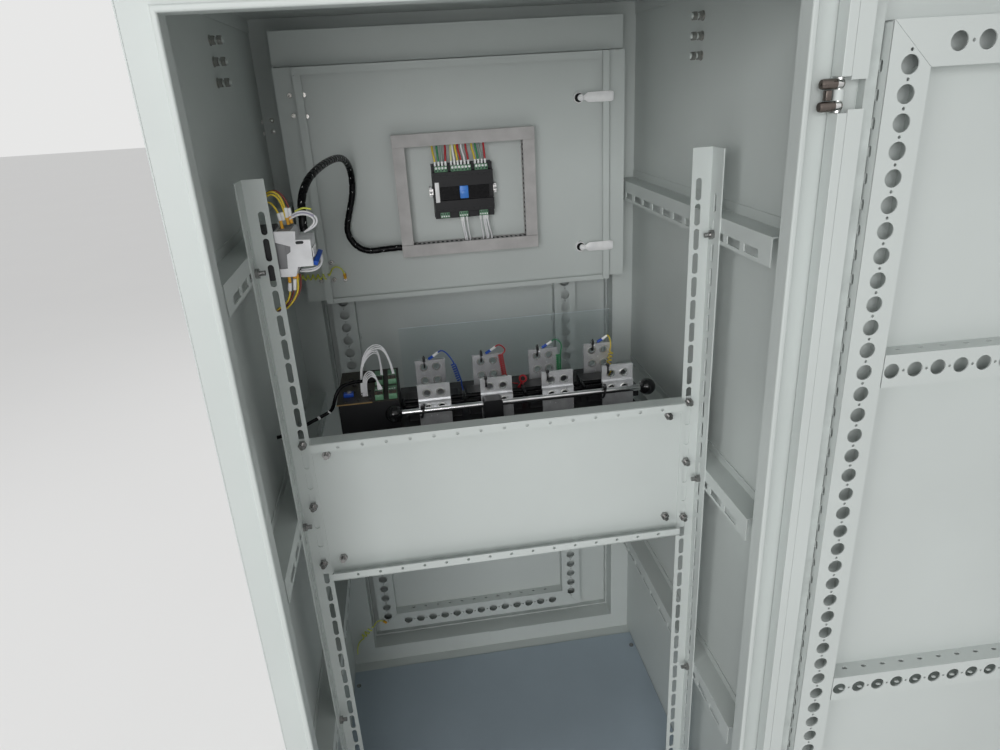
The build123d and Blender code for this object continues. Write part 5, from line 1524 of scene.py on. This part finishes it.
fixings = {
    "studs": (1640.0, 1609.5, 1579.0), "studDepth": 5.0, "nutAcross": 13.0, "nutHeight": 6.5,
    "hingeScrews": [(-294.5, 1217.0), (-294.0, 1179.0), (-300.7, 1554.5), (-300.7, 1514.3)],
    "stripScrews": [(-322.0, 1217.0), (-322.0, 1179.0), (-328.0, 1555.0), (-326.0, 1517.0)],
    # place, facing, radius
    "domes": [((-380.0, 361.0, 1509.3), (0, -1, 0), 5.0), ((-380.0, 361.0, 1487.4), (0, -1, 0), 5.0),
              ((-398.0, 345.0, 1508.0), (1, 0, 0), 4.4), ((-398.0, 345.0, 1485.0), (1, 0, 0), 4.4)],
    # along the lever: place, half height, distance of the front from the door's pin end
    "lever": [(253.0, 3.4), (255.0, 5.0), (266.0, 5.0), (269.0, 7.4), (272.5, 9.6), (300.0, 10.2), (320.0, 10.2),
              (325.0, 9.4), (327.0, 7.8)],
    "latchX": 255.0, "leverBack": 284.6, "leverDeep": 1.6, "leverCrown": 2.2,
}


def makeFixings(look):
    nuts = []
    for side in (-1, 1):
        for z in look["studs"]:
            for x, height in ((398.0, 1.4), (396.6, look["nutHeight"]), (386.0, look["nutHeight"])):
                shape = latheMesh([(0, 0), (8, 0), (8, 1.4), (0, 1.4)], 24) if height < 2 else hexMesh(look["nutAcross"], height)
                nuts.append((shape, along((side * x, look["studDepth"], z), (-side, 0, 0))))
    for x, z in look["stripScrews"]:
        nuts.append((hexMesh(9, 4), along((x, 297, z), (0, -1, 0))))
        nuts.append((latheMesh([(0, 0), (1.9, 0), (1.9, 7), (1.5, 7.5), (0, 7.5)], 12), along((x, 297, z), (0, -1, 0))))
    meshPiece("cabinetNuts", mergeMeshes("nuts", nuts), "stud", "cabinet", 30)
    domes = []
    for place, facing, radius in look["domes"]:
        profile = [(radius, 0), (radius * 0.92, radius * 0.3), (radius * 0.6, radius * 0.55), (0, radius * 0.66)]
        domes.append((latheMesh(profile, 20), along(place, facing)))
    meshPiece("postScrews", mergeMeshes("domes", domes), "bright", "cabinet", 40)
    nuts = []
    for x, z in look["hingeScrews"] + [(-270.0, 1177.7)]:
        nuts.append((hexMesh(9, 4), along((x, 297, z), (0, -1, 0))))
        nuts.append((latheMesh([(0, 0), (1.9, 0), (1.9, 8), (1.5, 8.5), (0, 8.5)], 12), along((x, 297, z), (0, -1, 0))))
    meshPiece("instrumentDoorNuts", mergeMeshes("nuts", nuts), "stud", "instrument_door", 30)
    for height, body in ((1518.0, "instrument_upper_latch"), (1206.0, "instrument_lower_latch")):
        level = "upper" if height > 1400 else "lower"
        x, back = look["latchX"], look["leverBack"]
        boss = latheMesh([(0, 2.2), (2.8, 2.2), (3.2, 4.2), (5.8, 4.2), (6.6, 3.2), (6.6, 0), (4.0, 0), (4.0, -5), (0, -5)], 28)
        lever = mergeMeshes("lever", [(leverMesh(look), Matrix.Translation(point(0, 0, height))),
                                      (boss, along((x + 2.4, back, height), (0, -1, 0)))])
        piece = meshPiece(level + "LatchLever", lever, "lever", body, 50)
        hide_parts("instrument_%s_cam" % level)
        ring = latheMesh([(8.8, 0), (8.8, 6.6), (9.8, 7.4), (11.0, 6.4), (11.2, 0), (8.8, 0)], 36)
        meshPiece(level + "LatchRing", mergeMeshes("ring", [(ring, along((x, 297, height), (0, -1, 0)))]), "lever",
                  "instrument_door", 40)
        well = latheMesh([(0, 5.8), (8.8, 5.8), (8.8, 0), (0, 0)], 32)
        meshPiece(level + "LatchWell", mergeMeshes("well", [(well, along((x, 297, height), (0, -1, 0)))]), "gloss",
                  "instrument_door", 40)


def leverMesh(look):
    # crowned bar along X, its flat back towards the door
    shape = bmesh.new()
    back, deep, crown = look["leverBack"], look["leverDeep"], look["leverCrown"]
    rings = []
    for x, half in look["lever"]:
        ring = []
        for step in range(13):
            share = step / 6 - 1
            rise = crown * (1 - share * share) * min(1.0, half / look["lever"][-3][1])
            ring.append(shape.verts.new(point(x, back - deep - rise, half * share)))
        ring += [shape.verts.new(point(x, back, half)), shape.verts.new(point(x, back, -half))]
        rings.append(ring)
    for a, b in zip(rings, rings[1:]):
        for step in range(len(a)):
            following = (step + 1) % len(a)
            shape.faces.new((a[step], a[following], b[following], b[step]))
    shape.faces.new(list(reversed(rings[0])))
    shape.faces.new(rings[-1])
    bmesh.ops.recalc_face_normals(shape, faces=shape.faces[:])
    mesh = bpy.data.meshes.new("lever")
    shape.to_mesh(mesh)
    shape.free()
    return mesh


def wireMesh(name, route, diameter, finish):
    # a wire across a hinge, as a mesh
    places = evenly(routeLine(route), 1.5 * mm)
    shape = bmesh.new()
    side = Vector((0.3, 1, 0.2))
    rings = []
    for index, place in enumerate(places):
        ahead = (places[min(index + 1, len(places) - 1)] - places[max(index - 1, 0)]).normalized()
        side = (side - ahead * side.dot(ahead)).normalized()
        other = ahead.cross(side)
        rings.append([
            shape.verts.new(place + (side * math.cos(a) + other * math.sin(a)) * diameter / 2 * mm)
            for a in (2 * math.pi * step / 8 for step in range(8))
        ])
    for a, b in zip(rings, rings[1:]):
        for step in range(8):
            shape.faces.new((a[step], a[(step + 1) % 8], b[(step + 1) % 8], b[step]))
    shape.faces.new(list(reversed(rings[0])))
    shape.faces.new(rings[-1])
    bmesh.ops.recalc_face_normals(shape, faces=shape.faces[:])
    mesh = bpy.data.meshes.new(name)
    shape.to_mesh(mesh)
    shape.free()
    shadeSmooth(mesh, 60)
    mesh.materials.append(finishes[finish])
    piece = bpy.data.objects.new(name, mesh)
    scene.collection.objects.link(piece)
    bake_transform(piece)


earth = {
    "diameter": 3.2,
    "upper": [(-384, 350, 1200), (-376, 320, 1196)] + coilPoints((-366, 286, 1192), (-302, 284, 1190), 5.6, 6)
             + [(-297, 286, 1200), (-293.6, 288, 1206), (-286, 288, 1209), (-277.9, 288, 1206), (-272, 288.4, 1198),
                (-270, 289, 1190)],
    "lower": [(-386, 352, 92), (-385, 348, 112), (-378, 348, 134)] + coilPoints((-368, 350, 148), (-336, 366, 168), 6.0, 4)
             + [(-326, 376, 174), (-316, 386, 170), (-305, 390, 161)],
}


def makeEarthWires(look):
    wireMesh("upperEarthWire", look["upper"], look["diameter"], "wireLime")
    wireMesh("lowerEarthWire", look["lower"], look["diameter"], "wireLime")
    sleeveGroup("upperEarthLug", [((-270, 288, 1192), (-270, 292, 1181))], 3.4, "ferrule", "instrument_door")
    sleeveGroup("lowerEarthLug", [((-306, 389, 162), (-300, 392, 153))], 3.4, "ferrule", "front_door")


makeFixings(fixings)
makeEarthWires(earth)
print("fixings ready")


# Floor

def makeFloor(look):
    half = look["floorHalf"]
    shape = sheetMesh(rectangle(-half, half, -half, half), [], 2.0)
    floor = bpy.data.objects.new("studioFloor", shape)
    floor.location.z = -1.2 * mm
    shape.materials.append(finishes["studioFloor"])
    scene.collection.objects.link(floor)


makeFloor(studio)
